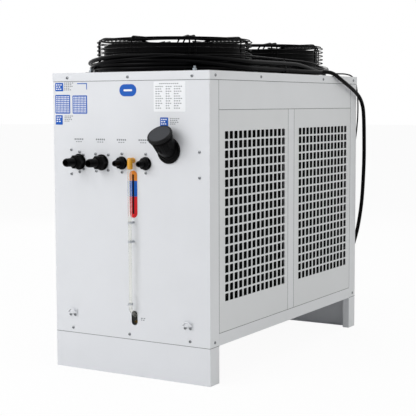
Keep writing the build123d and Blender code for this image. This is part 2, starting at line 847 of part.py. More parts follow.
clips = []
for height in clip_heights:
    with BuildPart() as clip:
        with BuildSketch(gauge_line.offset(height - clip_band / 2)):
            Circle(tube_diameter / 2 + clip_sheet)
            with Locations((0, gauge_stand / 2)):
                Rectangle(2 * clip_sheet, gauge_stand)
            with Locations((-tube_diameter / 2, gauge_stand - clip_sheet / 2)):
                Rectangle(1.5 * tube_diameter, clip_sheet)
            Circle(tube_diameter / 2, mode=Mode.SUBTRACT)
        extrude(amount=clip_band)
    clips.append(clip.part)
tube_clips = Compound(children=clips, label="tube_clips")
export_step(tube_clips, "parts/tube_clips.step")


# The drain cock behind the slot, and its turning handle that is reached through it.
with BuildPart() as drain_valve:
    with BuildSketch(wall_plane(gauge_x, drain_height, -tank_gap)):
        Circle(drain_body_radius)
    extrude(amount=drain_body_length)
    with BuildSketch(
        Plane(origin=(gauge_x, front_wall + tank_gap - drain_body_length / 2, drain_height))
    ):
        Circle(drain_spout_radius)
    extrude(amount=-drain_spout)
    with BuildSketch(wall_plane(gauge_x, drain_height, drain_body_length - tank_gap)):
        Circle(drain_stem_radius + shaft_clearance)
    extrude(amount=-drain_body_length / 3, mode=Mode.SUBTRACT)
drain_valve.part.label = "drain_valve"
export_step(drain_valve.part, "parts/drain_valve.step")

with BuildPart() as drain_handle_piece:
    with BuildSketch(wall_plane(gauge_x, drain_height, drain_body_length - tank_gap)):
        SlotOverall(drain_handle_length, drain_handle_width)
    extrude(amount=drain_handle)
    with BuildSketch(wall_plane(gauge_x, drain_height, drain_body_length - tank_gap)):
        Circle(drain_stem_radius)
    extrude(amount=-drain_body_length / 4)
drain_handle_piece.part.label = "drain_handle"
export_step(drain_handle_piece.part, "parts/drain_handle.step")


# The lugs: small sheet brackets with an arched hood over two screws.
for label, x, z in zip(("lug_left", "lug_right"), lug_places, lug_heights):
    with BuildPart() as lug:
        with BuildSketch(wall_plane(x, z)):
            Rectangle(lug_width, lug_height)
        extrude(amount=sheet)
        with BuildSketch(Plane(origin=(x, front_wall, z))):
            with BuildLine():
                Polyline((-lug_width / 2, 0), (lug_width / 2, 0))
                ThreePointArc((lug_width / 2, 0), (0, -lug_reach), (-lug_width / 2, 0))
            make_face()
            with BuildLine():
                inner = lug_width / 2 - sheet
                Polyline((-inner, 0), (inner, 0))
                ThreePointArc((inner, 0), (0, sheet - lug_reach), (-inner, 0))
            make_face(mode=Mode.SUBTRACT)
        extrude(amount=lug_height / 2)
    lug.part.label = label
    export_step(lug.part, f"parts/{label}.step")


# Machinery inside. The condensers stand behind the grilles, the tank behind the filling neck.
condenser_low = skirt_height + rail_height + condenser_foot
condenser_start = side_start + condenser_foot
condenser_end = side_end - condenser_foot
for side_name, side in sides.items():
    with BuildPart() as condenser:
        outer_face = Plane(origin=(side * condenser_outer, 0, 0), x_dir=(0, side, 0), z_dir=(side, 0, 0))
        with BuildSketch(outer_face):
            with Locations((side * (condenser_start + condenser_end) / 2, (condenser_low + grille_top) / 2)):
                Rectangle(condenser_end - condenser_start, grille_top - condenser_low - condenser_foot)
            for y in (condenser_start, condenser_end):
                with Locations((side * y, (floor_top + grille_top) / 2)):
                    Rectangle(2 * condenser_plate, grille_top - floor_top)
        extrude(amount=-condenser_depth)
    condenser.part.label = f"condenser_{side_name}"
    export_step(condenser.part, f"parts/condenser_{side_name}.step")

tank_front = front_wall + tank_gap
with BuildPart() as water_tank:
    with BuildSketch(Plane.XY.offset(floor_top)):
        with Locations(((tank_left + tank_right) / 2, tank_front + tank_length / 2)):
            RectangleRounded(tank_right - tank_left, tank_length, tank_corner)
    extrude(amount=tank_height)
    with BuildSketch(Plane.XY.offset(floor_top + tank_wall)):
        with Locations(((tank_left + tank_right) / 2, tank_front + tank_length / 2)):
            RectangleRounded(
                tank_right - tank_left - 2 * tank_wall, tank_length - 2 * tank_wall, tank_corner - tank_wall
            )
    extrude(amount=tank_height - 2 * tank_wall, mode=Mode.SUBTRACT)
    with BuildSketch(wall_plane(0, 0, -tank_gap)):
        with Locations((neck_x, neck_height)):
            Circle(neck_bore)
    extrude(amount=-tank_wall, mode=Mode.SUBTRACT)
water_tank.part.label = "water_tank"
export_step(water_tank.part, "parts/water_tank.step")

compressor_y = fan_places["rear"] + compressor_offset
with BuildPart() as compressor:
    with Locations((0, compressor_y, floor_top + compressor_foot)):
        Cylinder(
            compressor_radius, compressor_height, align=(Align.CENTER, Align.CENTER, Align.MIN)
        )
    chamfer(compressor.edges().group_by(Axis.Z)[-1], compressor_crown_rise, compressor_crown)
    with BuildSketch(Plane.XY.offset(floor_top)):
        with Locations((0, compressor_y)):
            with GridLocations(compressor_foot_spacing, compressor_foot_spacing, 2, 2):
                Circle(compressor_foot_radius)
    extrude(amount=compressor_foot)
    with BuildSketch(Plane.XY.offset(floor_top + compressor_foot)):
        with Locations((0, compressor_y)):
            RectangleRounded(compressor_plate_width, compressor_plate_width, compressor_plate_corner)
    extrude(amount=compressor_plate)
compressor.part.label = "compressor"
export_step(compressor.part, "parts/compressor.step")

pump_y = tank_front + tank_length + pump_gap
pump_axis = floor_top + pump_axis_height
with BuildPart() as pump:
    with BuildSketch(Plane.XZ.offset(pump_case - pump_y)):
        with Locations((pump_x, pump_axis)):
            Circle(pump_case_radius)
    extrude(amount=-pump_case)
    with BuildSketch(Plane.XZ.offset(-pump_y)):
        with Locations((pump_x, pump_axis)):
            Circle(pump_motor_radius)
    extrude(amount=-pump_motor)
    with BuildSketch(Plane.XY.offset(floor_top)):
        with Locations((pump_x, pump_y + pump_saddle_start + pump_saddle_length / 2)):
            Rectangle(pump_saddle_width, pump_saddle_length)
    extrude(amount=pump_axis_height - pump_motor_radius / 2)
    with BuildSketch(Plane.XY.offset(pump_axis)):
        with Locations((pump_x, pump_y - pump_case / 2)):
            Circle(pump_port_radius)
    extrude(amount=pump_port)
pump.part.label = "pump"
export_step(pump.part, "parts/pump.step")

exchanger_x = tank_left - exchanger_gap - exchanger_width / 2
exchanger_y = tank_front + exchanger_offset
with BuildPart() as heat_exchanger:
    with BuildSketch(Plane.XY.offset(floor_top)):
        with Locations((exchanger_x, exchanger_y)):
            RectangleRounded(exchanger_width, exchanger_length, exchanger_corner)
    extrude(amount=exchanger_height)
    with BuildSketch(Plane.YZ.offset(exchanger_x + exchanger_width / 2)):
        with Locations((exchanger_y, floor_top + exchanger_height / 2)):
            with GridLocations(port_spacing_across, port_spacing_up, 2, 2):
                Circle(port_radius)
    extrude(amount=port_reach)
heat_exchanger.part.label = "heat_exchanger"
export_step(heat_exchanger.part, "parts/heat_exchanger.step")

drier_place = Location((drier_x, fan_places["rear"] - drier_offset, floor_top))
with BuildPart() as filter_drier:
    with BuildSketch(drier_place):
        Circle(drier_pipe_radius)
    extrude(amount=drier_height)
    with BuildSketch(drier_place * Location((0, 0, drier_foot))):
        Circle(drier_radius)
    extrude(amount=drier_body)
filter_drier.part.label = "filter_drier"
export_step(filter_drier.part, "parts/filter_drier.step")

electrical_back = rear_wall - sheet
with BuildPart() as electrical_box:
    with BuildSketch(Plane.XY.offset(cabinet_height - electrical_drop)):
        with Locations((electrical_x, electrical_back - electrical_depth / 2)):
            Rectangle(electrical_width, electrical_depth)
    extrude(amount=-electrical_height)
electrical_box.part.label = "electrical_box"
export_step(electrical_box.part, "parts/electrical_box.step")


# Rear wall: the controller with its keys, the main switch and the two cable glands.
key_row = controller_height - controller_tall / 2 + key_tall
key_places = [controller_x + (index - (key_count - 1) / 2) * key_pitch for index in range(key_count)]
with BuildPart() as controller:
    with BuildSketch(rear_plane(controller_x, controller_height)):
        RectangleRounded(controller_width, controller_tall, controller_corner)
    extrude(amount=controller_depth)
    with BuildSketch(rear_plane(controller_x, controller_height + display_lift, controller_depth)):
        Rectangle(display_width, display_tall)
    extrude(amount=-display_recess, mode=Mode.SUBTRACT)
    with BuildSketch(rear_plane(0, key_row, controller_depth)):
        with Locations(*[(-x, 0) for x in key_places]):
            Rectangle(key_width + 2 * key_clearance, key_tall + 2 * key_clearance)
    extrude(amount=-key_depth - key_travel - key_clearance, mode=Mode.SUBTRACT)
controller.part.label = "controller"
export_step(controller.part, "parts/controller.step")

for index, x in enumerate(key_places):
    with BuildPart() as key:
        with BuildSketch(rear_plane(x, key_row, controller_depth - key_depth)):
            Rectangle(key_width, key_tall)
        extrude(amount=key_depth + key_rise)
    key.part.label = f"key_{index + 1}"
    export_step(key.part, f"parts/key_{index + 1}.step")

with BuildPart() as switch_base_piece:
    with BuildSketch(rear_plane(switch_x, switch_height)):
        RectangleRounded(switch_base_width, switch_base_width, switch_corner)
    extrude(amount=switch_base)
switch_base_piece.part.label = "switch_base"
export_step(switch_base_piece.part, "parts/switch_base.step")

with BuildPart() as switch_knob_piece:
    with BuildSketch(rear_plane(switch_x, switch_height, switch_base)):
        Circle(switch_knob_radius)
    extrude(amount=switch_knob)
    with BuildSketch(rear_plane(switch_x, switch_height, switch_base + switch_knob)):
        Rectangle(switch_grip_width, 2 * (switch_knob_radius - switch_grip_inset))
    extrude(amount=switch_grip)
switch_knob_piece.part.label = "switch_knob"
export_step(switch_knob_piece.part, "parts/switch_knob.step")

for label, x, top, radius in (
    ("power_gland", power_gland_x, power_gland_top, power_gland_radius),
    ("signal_gland", signal_gland_x, signal_gland_top, signal_gland_radius),
):
    axis_height = top - gland_leg
    with BuildPart() as gland:
        with BuildSketch(rear_plane(x, axis_height)):
            RegularPolygon(gland_nut_share * radius, 6)
        extrude(amount=radius / 2)
        with BuildSketch(rear_plane(x, axis_height)):
            Circle(radius)
        extrude(amount=gland_stand)
        with BuildSketch(Plane(origin=(x, rear_wall + gland_stand, axis_height))):
            Circle(radius)
        extrude(amount=gland_leg)
        with Locations((x, rear_wall + gland_stand, axis_height)):
            Sphere(radius)
    gland.part.label = label
    export_step(gland.part, f"parts/{label}.step")


# The power cable: most of it lies coiled round the two guards on the lid.
with BuildPart() as power_cable_coil:
    with BuildSketch(Plane.XY.offset(cabinet_height)):
        with Locations((0, fan_places["front"])):
            Ellipse(coil_outer, fan_front_distance - coil_edge)
        with Locations((0, fan_places["rear"])):
            Ellipse(coil_outer, cabinet_depth - fan_front_distance - fan_spacing - coil_edge)
        with Locations((0, (fan_places["front"] + fan_places["rear"]) / 2)):
            Rectangle(2 * coil_outer, fan_spacing)
            SlotCenterToCenter(fan_spacing, 2 * coil_inner, rotation=90, mode=Mode.SUBTRACT)
    extrude(amount=coil_height)
    with BuildSketch(Plane.XY.offset(cabinet_height)):
        for fan_y, turn in ((fan_places["front"], -1), (fan_places["rear"], 1)):
            for angle in (45, 135):
                middle = bar_radius - 2 * guard_wire + foot_plate_length / 2
                at = (middle * cos(radians(turn * angle)), fan_y + middle * sin(radians(turn * angle)))
                with Locations(Location((*at, 0), (0, 0, turn * angle))):
                    Rectangle(
                        foot_plate_length + 2 * coil_clearance, foot_plate_width + 2 * coil_clearance
                    )
    extrude(amount=bolt_rise + coil_clearance, mode=Mode.SUBTRACT)
power_cable_coil.part.label = "power_cable_coil"
export_step(power_cable_coil.part, "parts/power_cable_coil.step")


def cable_tube(route, diameter, label):
    """A cable along straight runs joined by arcs, each arc as large as its two runs allow."""
    points = [Vector(*point) for point in route]
    runs = [after - before for before, after in zip(points, points[1:])]
    radii = []
    for before, after in zip(runs, runs[1:]):
        half_turn = radians(before.get_angle(after)) / 2
        radii.append(bend_share * min(before.length, after.length) / tan(half_turn))
    with BuildPart() as cable:
        with BuildLine() as path:
            FilletPolyline(*points, radius=radii)
        with BuildSketch(Plane(origin=points[0], z_dir=runs[0])):
            Circle(diameter / 2)
        sweep()
    length = sum(edge.length for edge in path.edges())
    section_volume = pi * diameter**2 / 4 * length
    print(label, "arc radii", [round(radius) for radius in radii])
    print(label, "length", round(length, 1), "volume over section times length",
          round(cable.part.volume / section_volume, 4))
    cable.part.label = label
    export_step(cable.part, f"parts/{label}.step")


# The routes are chosen by hand: the distance inside the right side, the distance behind the lid's rear edge
# and the height over the floor.
power_route = (
    (23, -284, 987),
    (13, -252, 988),
    (-5, -212, 987),
    (-17, -152, 964),
    (-18, -75, 938),
    (-14, -2, 908),
    (-17, 22, 862),
    (-21, 22, 812),
    (-23, 21, 745),
    (-23.5, 22, 660),
    (-21, 21, 575),
    (-16, 22, 495),
    (-7, 21, 425),
    (5, 22, 366),
    (20, 22, 317),
    (30, 22, 285),
    (30, 22, 255),
)
signal_route = (
    (38, -183, 990),
    (40, -135, 985),
    (40, -80, 985.5),
    (37, -25, 986),
    (25, 11, 979),
    (9, 18, 955),
    (0, 18.5, 915),
    (-4, 18, 870),
    (-3, 18.5, 820),
    (1, 18, 770),
    (9, 18.5, 722),
    (20, 18, 682),
    (31, 20, 655),
    (35, 22, 633),
    (35, 22, 612),
)
for label, route, diameter in (
    ("power_cable_run", power_route, power_cable),
    ("signal_cable_run", signal_route, signal_cable),
):
    cable_tube([(cabinet_width / 2 - x, cabinet_back + y, z) for x, y, z in route], diameter, label)
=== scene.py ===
import logging
import math
from collections.abc import Callable
from dataclasses import dataclass
from enum import Enum

import bmesh
import bpy
from mathutils import Matrix, Vector


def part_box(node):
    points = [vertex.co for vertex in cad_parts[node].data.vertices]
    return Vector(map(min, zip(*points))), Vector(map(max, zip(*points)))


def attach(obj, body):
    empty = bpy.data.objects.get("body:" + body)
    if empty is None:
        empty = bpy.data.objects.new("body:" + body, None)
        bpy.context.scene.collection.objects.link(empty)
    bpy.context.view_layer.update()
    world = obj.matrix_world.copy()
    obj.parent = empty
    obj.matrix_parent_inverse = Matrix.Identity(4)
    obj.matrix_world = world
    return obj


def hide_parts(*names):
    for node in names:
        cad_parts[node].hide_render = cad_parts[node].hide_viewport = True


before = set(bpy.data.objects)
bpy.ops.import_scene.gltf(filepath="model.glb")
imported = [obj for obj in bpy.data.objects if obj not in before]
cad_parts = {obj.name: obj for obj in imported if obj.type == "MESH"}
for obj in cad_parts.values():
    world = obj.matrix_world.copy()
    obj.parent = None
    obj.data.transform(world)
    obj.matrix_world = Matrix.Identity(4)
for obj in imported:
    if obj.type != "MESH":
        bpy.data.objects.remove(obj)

LOG = logging.getLogger("chiller")
logging.basicConfig(level=logging.INFO, format="%(name)s: %(message)s")

Pair = tuple[float, float]
Triple = tuple[float, float, float]

# Shapes are worked out in millimetres, apart from the grilles' sheets. Blender's data get metres when they are made.
MM = 0.001
CABINET = "cabinet"
UP = Vector((0, 0, 1))
FORWARD = Vector((0, -1, 0))
BACKWARD = Vector((0, 1, 0))
DIAGONALS = (45, 135, 225, 315)
SQUARES = (0, 90, 180, 270)
WHITE = (1, 1, 1, 1)
# The distance from band to band of the wave texture at a scale of 1, in metres.
WAVE_LENGTH = 0.314


def box(node: str) -> tuple[Vector, Vector]:
    """Gives the lowest and the highest corner of a CAD node's box, in millimetres."""
    low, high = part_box(node)
    return Vector(low) / MM, Vector(high) / MM


# The lid's box, and where the front and the rear wall stand.
LID = box("top_cover")
WALL = box("front_panel")[0].y
REAR_WALL = box("rear_panel")[1].y


def linear(hex_colour: str) -> tuple[float, float, float, float]:
    """Turns an sRGB colour such as "#DCDEE2" into linear red, green, blue and an alpha of 1."""
    values = [int(hex_colour[index:index + 2], 16) / 255 for index in (1, 3, 5)]
    return (*(value / 12.92 if value <= 0.04045 else ((value + 0.055) / 1.055) ** 2.4 for value in values), 1.0)


def add_node(tree: bpy.types.NodeTree, kind: str, settings: dict[str, object] | None = None,
             links: dict[str | int, bpy.types.NodeSocket] | None = None) -> bpy.types.Node:
    """Adds one shader node with its settings and its incoming links.

    Args:
        tree: The node tree that gets the node.
        kind: Blender's name for the node's type.
        settings: Socket values by socket name, or attribute values by attribute name.
        links: Output sockets to link, by the input socket's name or number.

    Returns:
        The new node.
    """
    node = tree.nodes.new(kind)
    for name, value in (settings or {}).items():
        if name in node.inputs:
            node.inputs[name].default_value = value
        else:
            setattr(node, name, value)
    for name, socket in (links or {}).items():
        tree.links.new(socket, node.inputs[name])
    return node


class Grain(Enum):
    """The kind of fine relief that a finish has; the value is the detail of its noise."""

    NONE = 0.0
    ORANGE_PEEL = 1.0
    BRUSHED = 2.0
    MOULDED = 3.0
    FINS = 4.0


@dataclass(frozen=True)
class Finish:
    """A real material and how its surface was made."""

    name: str
    colour: str
    roughness: float
    grain: Grain = Grain.NONE
    grain_mm: float = 1.0
    grain_depth_mm: float = 0.02
    variation: float = 0.0
    specular: float = 0.5
    ior: float = 1.5
    metallic: float = 0.0
    coat: float = 0.0
    transmission: float = 0.0

    def build(self) -> bpy.types.Material:
        """Makes the material, once for each finish."""
        if self.name in bpy.data.materials:
            return bpy.data.materials[self.name]
        material = bpy.data.materials.new(self.name)
        material.use_nodes = True
        tree = material.node_tree
        shader = tree.nodes["Principled BSDF"]
        for socket, value in (
            ("Base Color", linear(self.colour)), ("Roughness", self.roughness), ("Metallic", self.metallic),
            ("IOR", self.ior), ("Coat Weight", self.coat), ("Transmission Weight", self.transmission),
            ("Specular IOR Level", self.specular),
        ):
            shader.inputs[socket].default_value = value
        place = add_node(tree, "ShaderNodeNewGeometry").outputs["Position"]
        if self.variation > 0:
            self._vary(tree, shader, place)
        if self.grain is not Grain.NONE:
            self._relieve(tree, shader, place)
        return material

    def _vary(self, tree: bpy.types.NodeTree, shader: bpy.types.Node, place: bpy.types.NodeSocket) -> None:
        """Gives the colour and the roughness slow, slight changes over the surface."""
        cloud = add_node(tree, "ShaderNodeTexNoise", {"Scale": 9.0, "Detail": 4.0}, {"Vector": place}).outputs["Fac"]
        ramp = add_node(tree, "ShaderNodeValToRGB", links={"Fac": cloud})
        shares = (1 - self.variation, 1 + self.variation)
        for stop, position, share in zip(ramp.color_ramp.elements, (0.3, 0.7), shares):
            stop.position = position
            stop.color = (*(min(1.0, channel * share) for channel in linear(self.colour)[:3]), 1.0)
        tree.links.new(ramp.outputs["Color"], shader.inputs["Base Color"])
        ends = {"To Min": self.roughness * 0.9, "To Max": min(1.0, self.roughness * 1.12)}
        rough = add_node(tree, "ShaderNodeMapRange", ends, {"Value": cloud})
        tree.links.new(rough.outputs["Result"], shader.inputs["Roughness"])

    def _relieve(self, tree: bpy.types.NodeTree, shader: bpy.types.Node, place: bpy.types.NodeSocket) -> None:
        """Gives the surface its fine relief, at the real spacing of the grain."""
        if self.grain is Grain.FINS:
            bands = {"bands_direction": "Y", "Scale": WAVE_LENGTH / (self.grain_mm * MM)}
            height = add_node(tree, "ShaderNodeTexWave", bands, {"Vector": place}).outputs["Fac"]
            # For fins the colour runs in bands down to black: painted shade between the fins.
            shade = add_node(tree, "ShaderNodeValToRGB", links={"Fac": height})
            shade.color_ramp.elements[1].color = linear(self.colour)
            tree.links.new(shade.outputs["Color"], shader.inputs["Base Color"])
        else:
            if self.grain is Grain.BRUSHED:
                stretch = {"Scale": (1.0, 1.0, 14.0)}
                place = add_node(tree, "ShaderNodeMapping", stretch, {"Vector": place}).outputs["Vector"]
            grains = {"Scale": 1 / (self.grain_mm * MM), "Detail": self.grain.value}
            height = add_node(tree, "ShaderNodeTexNoise", grains, {"Vector": place}).outputs["Fac"]
        bump = add_node(tree, "ShaderNodeBump", {"Distance": self.grain_depth_mm * MM}, {"Height": height})
        tree.links.new(bump.outputs["Normal"], shader.inputs["Normal"])


# Polyester powder coat, sprayed and baked on steel: a cool white with a soft sheen and a fine orange peel.
POWDER_WHITE = Finish("powder_coat_white", "#DCDEE2", 0.42, Grain.ORANGE_PEEL, 2.2, 0.02, 0.012)
# The same coat on the punched sheets, a shade greyer all over.
POWDER_GRILLE = Finish("powder_coat_grille", "#D9DBDE", 0.44, Grain.ORANGE_PEEL, 2.2, 0.02, 0.012)
# Dip-coated steel wire: black with a half gloss, so each wire has a thin bright line.
WIRE_BLACK = Finish("dip_coat_black_wire", "#040405", 0.36, Grain.ORANGE_PEEL, 1.6, 0.03, specular=0.04)
# Painted steel duct: black and satin.
DUCT_BLACK = Finish("painted_steel_black", "#030304", 0.5, Grain.ORANGE_PEEL, 2.5, 0.03, 0.05, 0.05)
# Cataphoretic paint on the rotor and its sheet blades: black, dull, with slow cloudiness.
ROTOR_BLACK = Finish("dip_paint_rotor", "#0C0C0D", 0.5, Grain.ORANGE_PEEL, 3.0, 0.03, 0.08, 0.2)
# Glass-filled nylon, moulded: black with a fine matt grain and soft highlights on the ridges.
NYLON_BLACK = Finish("moulded_nylon_black", "#050506", 0.34, Grain.MOULDED, 0.9, 0.04, 0.06, 0.07)
# Polypropylene cap, moulded: black, with a half-gloss line along each rib.
CAP_BLACK = Finish("moulded_polypropylene_black", "#08090B", 0.4, Grain.MOULDED, 0.8, 0.05, 0.05, 0.16, 1.49)
# The same plastic on the flat of the cap, painted a lighter slate grey: painted light for the light that grazes its
# top.
CAP_TOP_PAINTED_LIGHT = Finish("cap_top_painted_light", "#2C2E32", 0.55, Grain.MOULDED, 1.2, 0.08, 0.08, 0.3, 1.49)
# Extruded PVC sheath: smooth black with a gentle half-gloss streak along each strand.
SHEATH_BLACK = Finish("extruded_pvc_sheath", "#020203", 0.26, Grain.MOULDED, 4.0, 0.05, 0.05, 0.05)
# Nitrile rubber: deep black and dull.
RUBBER_BLACK = Finish("nitrile_rubber", "#0C0C0C", 0.6, Grain.MOULDED, 0.7, 0.02, 0.04, 0.15)
# Zinc plate on the turned bolts: a dull mid-grey metal.
ZINC_DULL = Finish("dull_zinc_bolt", "#7E8489", 0.42, Grain.MOULDED, 1.2, 0.02, 0.08, metallic=1.0)
# The same plate, bright, on the clips.
ZINC_PLATE = Finish("zinc_plated_steel", "#B9BDC2", 0.34, Grain.MOULDED, 1.2, 0.02, 0.08, metallic=1.0)
# Nickel-plated screw heads: a darker grey metal that reads as a dot on the white sheet.
SCREW_NICKEL = Finish("nickel_plated_screw", "#8A8D90", 0.3, variation=0.08, metallic=1.0)
# Clear plasticised PVC tube: see-through with a faint straw tint and wet highlights.
TUBE_CLEAR = Finish("clear_pvc_tube", "#FBFBF8", 0.06, variation=0.01, ior=1.12, transmission=0.96)
# Acetal push-in elbow, moulded in a translucent amber.
ACETAL_AMBER = Finish("moulded_acetal_amber", "#DFA02A", 0.28, Grain.MOULDED, 1.5, 0.02, 0.08, ior=1.48, coat=0.2)
# Turned brass with fine lathe lines, painted a dark brown-yellow for the shade inside the drain slot.
BRASS = Finish("turned_brass", "#5E4B26", 0.42, Grain.BRUSHED, 0.6, metallic=1.0)
# Rotomoulded polyethylene: milky white and waxy.
POLYETHYLENE = Finish("rotomoulded_polyethylene", "#D9DAD3", 0.5, Grain.MOULDED, 3.0, 0.02, 0.04)
# Aluminium fins on copper tubes, painted near black for the shade inside the cabinet behind the grilles; 2 mm apart,
# drawn 4 mm apart to show.
FIN_PACK = Finish("fin_pack_painted_shade", "#060708", 0.7, Grain.FINS, 4.0, 0.8, specular=0.03)
# Electric-sheet steel with black enamel: the compressor's shell.
SHELL_ENAMEL = Finish("black_shell_enamel", "#101114", 0.3, Grain.ORANGE_PEEL, 2.0, 0.02, 0.05, 0.3)
# Stainless steel, rolled: the plates of the heat exchanger and the pump's body.
STAINLESS = Finish("rolled_stainless", "#B4B6B8", 0.32, Grain.BRUSHED, 0.8, 0.02, 0.04, metallic=1.0)
# ABS, moulded: the controller's bezel and the keys.
ABS_BLACK = Finish("moulded_abs_black", "#17181A", 0.42, Grain.MOULDED, 0.8, 0.02, 0.04, ior=1.54)
ABS_GREY = Finish("moulded_abs_grey", "#7C8086", 0.45, Grain.MOULDED, 0.8, 0.02, 0.04, ior=1.54)
# Acrylic window over an unlit display: near black and glossy.
DISPLAY_WINDOW = Finish("acrylic_display_window", "#0A1116", 0.08, variation=0.03, ior=1.49, coat=0.5)
# Thermoplastic switch parts: signal red knob on a yellow plate.
SWITCH_RED = Finish("moulded_knob_red", "#B3211C", 0.35, Grain.MOULDED, variation=0.04, ior=1.53)
SWITCH_YELLOW = Finish("moulded_plate_yellow", "#E2B21A", 0.4, Grain.MOULDED, variation=0.04, ior=1.53)
# Printed vinyl, cut and stuck down: even colours with a soft sheen.
VINYL_ORANGE = Finish("printed_vinyl_orange", "#DE8426", 0.34, variation=0.03, specular=0.25)
VINYL_BLUE = Finish("printed_vinyl_blue", "#1158B6", 0.34, variation=0.03, specular=0.2)
VINYL_RED = Finish("printed_vinyl_red", "#CE1A22", 0.34, variation=0.03, specular=0.2)
# The same black is painted into the screws' cross recesses as painted shade.
PRINT_AND_SHADE_BLACK = Finish("print_and_painted_shade_black", "#050507", 0.4, variation=0.03, specular=0.1)
VINYL_WHITE = Finish("printed_vinyl_white", "#EEF0F3", 0.3, variation=0.01)
# Screen ink, thinly printed: a mid grey.
INK_GREY = Finish("screen_ink_grey", "#6E7277", 0.5, variation=0.03)
# Nylon cable tie: black and glossy at its edges.
TIE_BLACK = Finish("nylon_cable_tie", "#080808", 0.4, variation=0.03, specular=0.2)
# Painted shade in the joints between the sheets: a dull dark line over each gap, standing in for the shade in it.
SEAM_PAINTED_SHADE = Finish("seam_painted_shade", "#5C6063", 0.8, Grain.MOULDED, 0.6, 0.02, 0.05, 0.1)
# Cable cores: thin coloured PVC, with pale crimped ferrules.
CORE_BROWN = Finish("core_sheath_brown", "#5A3420", 0.4, variation=0.03)
# Matt plaster-like floor for the studio.
FLOOR = Finish("studio_floor", "#F2F2F2", 0.9)

SHELL = ("front_skirt", "rear_skirt", "base_tray", "cabinet_frame", "front_panel", "rear_panel", "top_cover",
         "upper_panel_right", "upper_panel_left", "mullion_right", "mullion_left", "lug_left", "lug_right")
# The CAD nodes that are shown as they are, by finish. Finer pieces stand for the others.
DRESSED = (
    (POWDER_WHITE, *SHELL),
    (DUCT_BLACK, "fan_duct_front", "fan_duct_rear"),
    (ROTOR_BLACK, "fan_motor_front", "fan_motor_rear", "fan_rotor_front", "fan_rotor_rear"),
    (RUBBER_BLACK, "cap_gasket"),
    (TUBE_CLEAR, "level_tube"),
    (ZINC_PLATE, "tube_clips", "electrical_box"),
    (BRASS, "drain_valve", "drain_handle"),
    (FIN_PACK, "condenser_right", "condenser_left"),
    (POLYETHYLENE, "water_tank"),
    (SHELL_ENAMEL, "compressor", "filter_drier"),
    (STAINLESS, "pump", "heat_exchanger"),
    (ZINC_DULL, "guard_bolts"),
    (ABS_BLACK, "controller"),
    (ABS_GREY, "key_1", "key_2", "key_3", "key_4"),
    (SWITCH_YELLOW, "switch_base"),
    (SWITCH_RED, "switch_knob"),
    (NYLON_BLACK, "power_gland", "signal_gland"),
)


def dress(finish: Finish, *nodes: str) -> None:
    """Gives CAD nodes their finish."""
    material = finish.build()
    for name in nodes:
        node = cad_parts[name]
        if node.material_slots:
            for slot in node.material_slots:
                slot.material = material
        else:
            node.data.materials.append(material)
        LOG.info("dressed %s in %s", name, finish.name)


def linked(name: str, data: bpy.types.ID) -> bpy.types.Object:
    """Makes an object of its data and links it to the scene."""
    piece = bpy.data.objects.new(name, data)
    bpy.context.scene.collection.objects.link(piece)
    return piece


def finish_piece(piece: bpy.types.Object, body: str = CABINET, replaced: tuple[str, ...] = ()) -> None:
    """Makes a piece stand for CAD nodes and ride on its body."""
    if replaced:
        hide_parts(*replaced)
    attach(piece, body)
    LOG.info("built %s on %s", piece.name, body)


def bevel(piece: bpy.types.Object, width: float, segments: int, angle: float) -> None:
    """Rounds the edges that turn by more than an angle, in degrees."""
    edge = piece.modifiers.new("broken_edge", "BEVEL")
    edge.width = width * MM
    edge.segments = segments
    edge.limit_method = "ANGLE"
    edge.angle_limit = math.radians(angle)


def placed(origin: Vector, axis: Vector) -> Matrix:
    """Gives the matrix that stands a turned body at an origin with its height along an axis."""
    return Matrix.Translation(origin) @ axis.normalized().to_track_quat("Z", "Y").to_matrix().to_4x4()


def arc(x: float, y: float, radius: float, start: float, sweep: float, steps: int) -> list[Pair]:
    """Gives the points of an arc round a centre, from a start angle and over a sweep in degrees."""
    turns = [math.radians(start + sweep * step / steps) for step in range(steps + 1)]
    return [(x + radius * math.cos(turn), y + radius * math.sin(turn)) for turn in turns]


def bend(start: Vector, corner: Vector, end: Vector, steps: int) -> list[Vector]:
    """Gives the points of a smooth bend from a start to an end, which heads for the corner at both."""
    shares = [step / steps for step in range(steps + 1)]
    return [start.lerp(corner, share).lerp(corner.lerp(end, share), share) for share in shares]


def rounded_line(corners: list[Vector], radius: float, steps: int = 5) -> list[Vector]:
    """Bends a wire's line round its corners, as on a bending jig.

    Args:
        corners: The corners of the line.
        radius: The bend's radius.
        steps: How many pieces each bend has.

    Returns:
        The points of the bent line.
    """
    line = [corners[0]]
    for before, corner, after in zip(corners, corners[1:], corners[2:]):
        back, ahead = before - corner, after - corner
        reach = min(radius / math.tan(back.angle(ahead) / 2), 0.45 * back.length, 0.45 * ahead.length)
        line += bend(corner + back.normalized() * reach, corner, corner + ahead.normalized() * reach, steps)
    return [*line, corners[-1]]


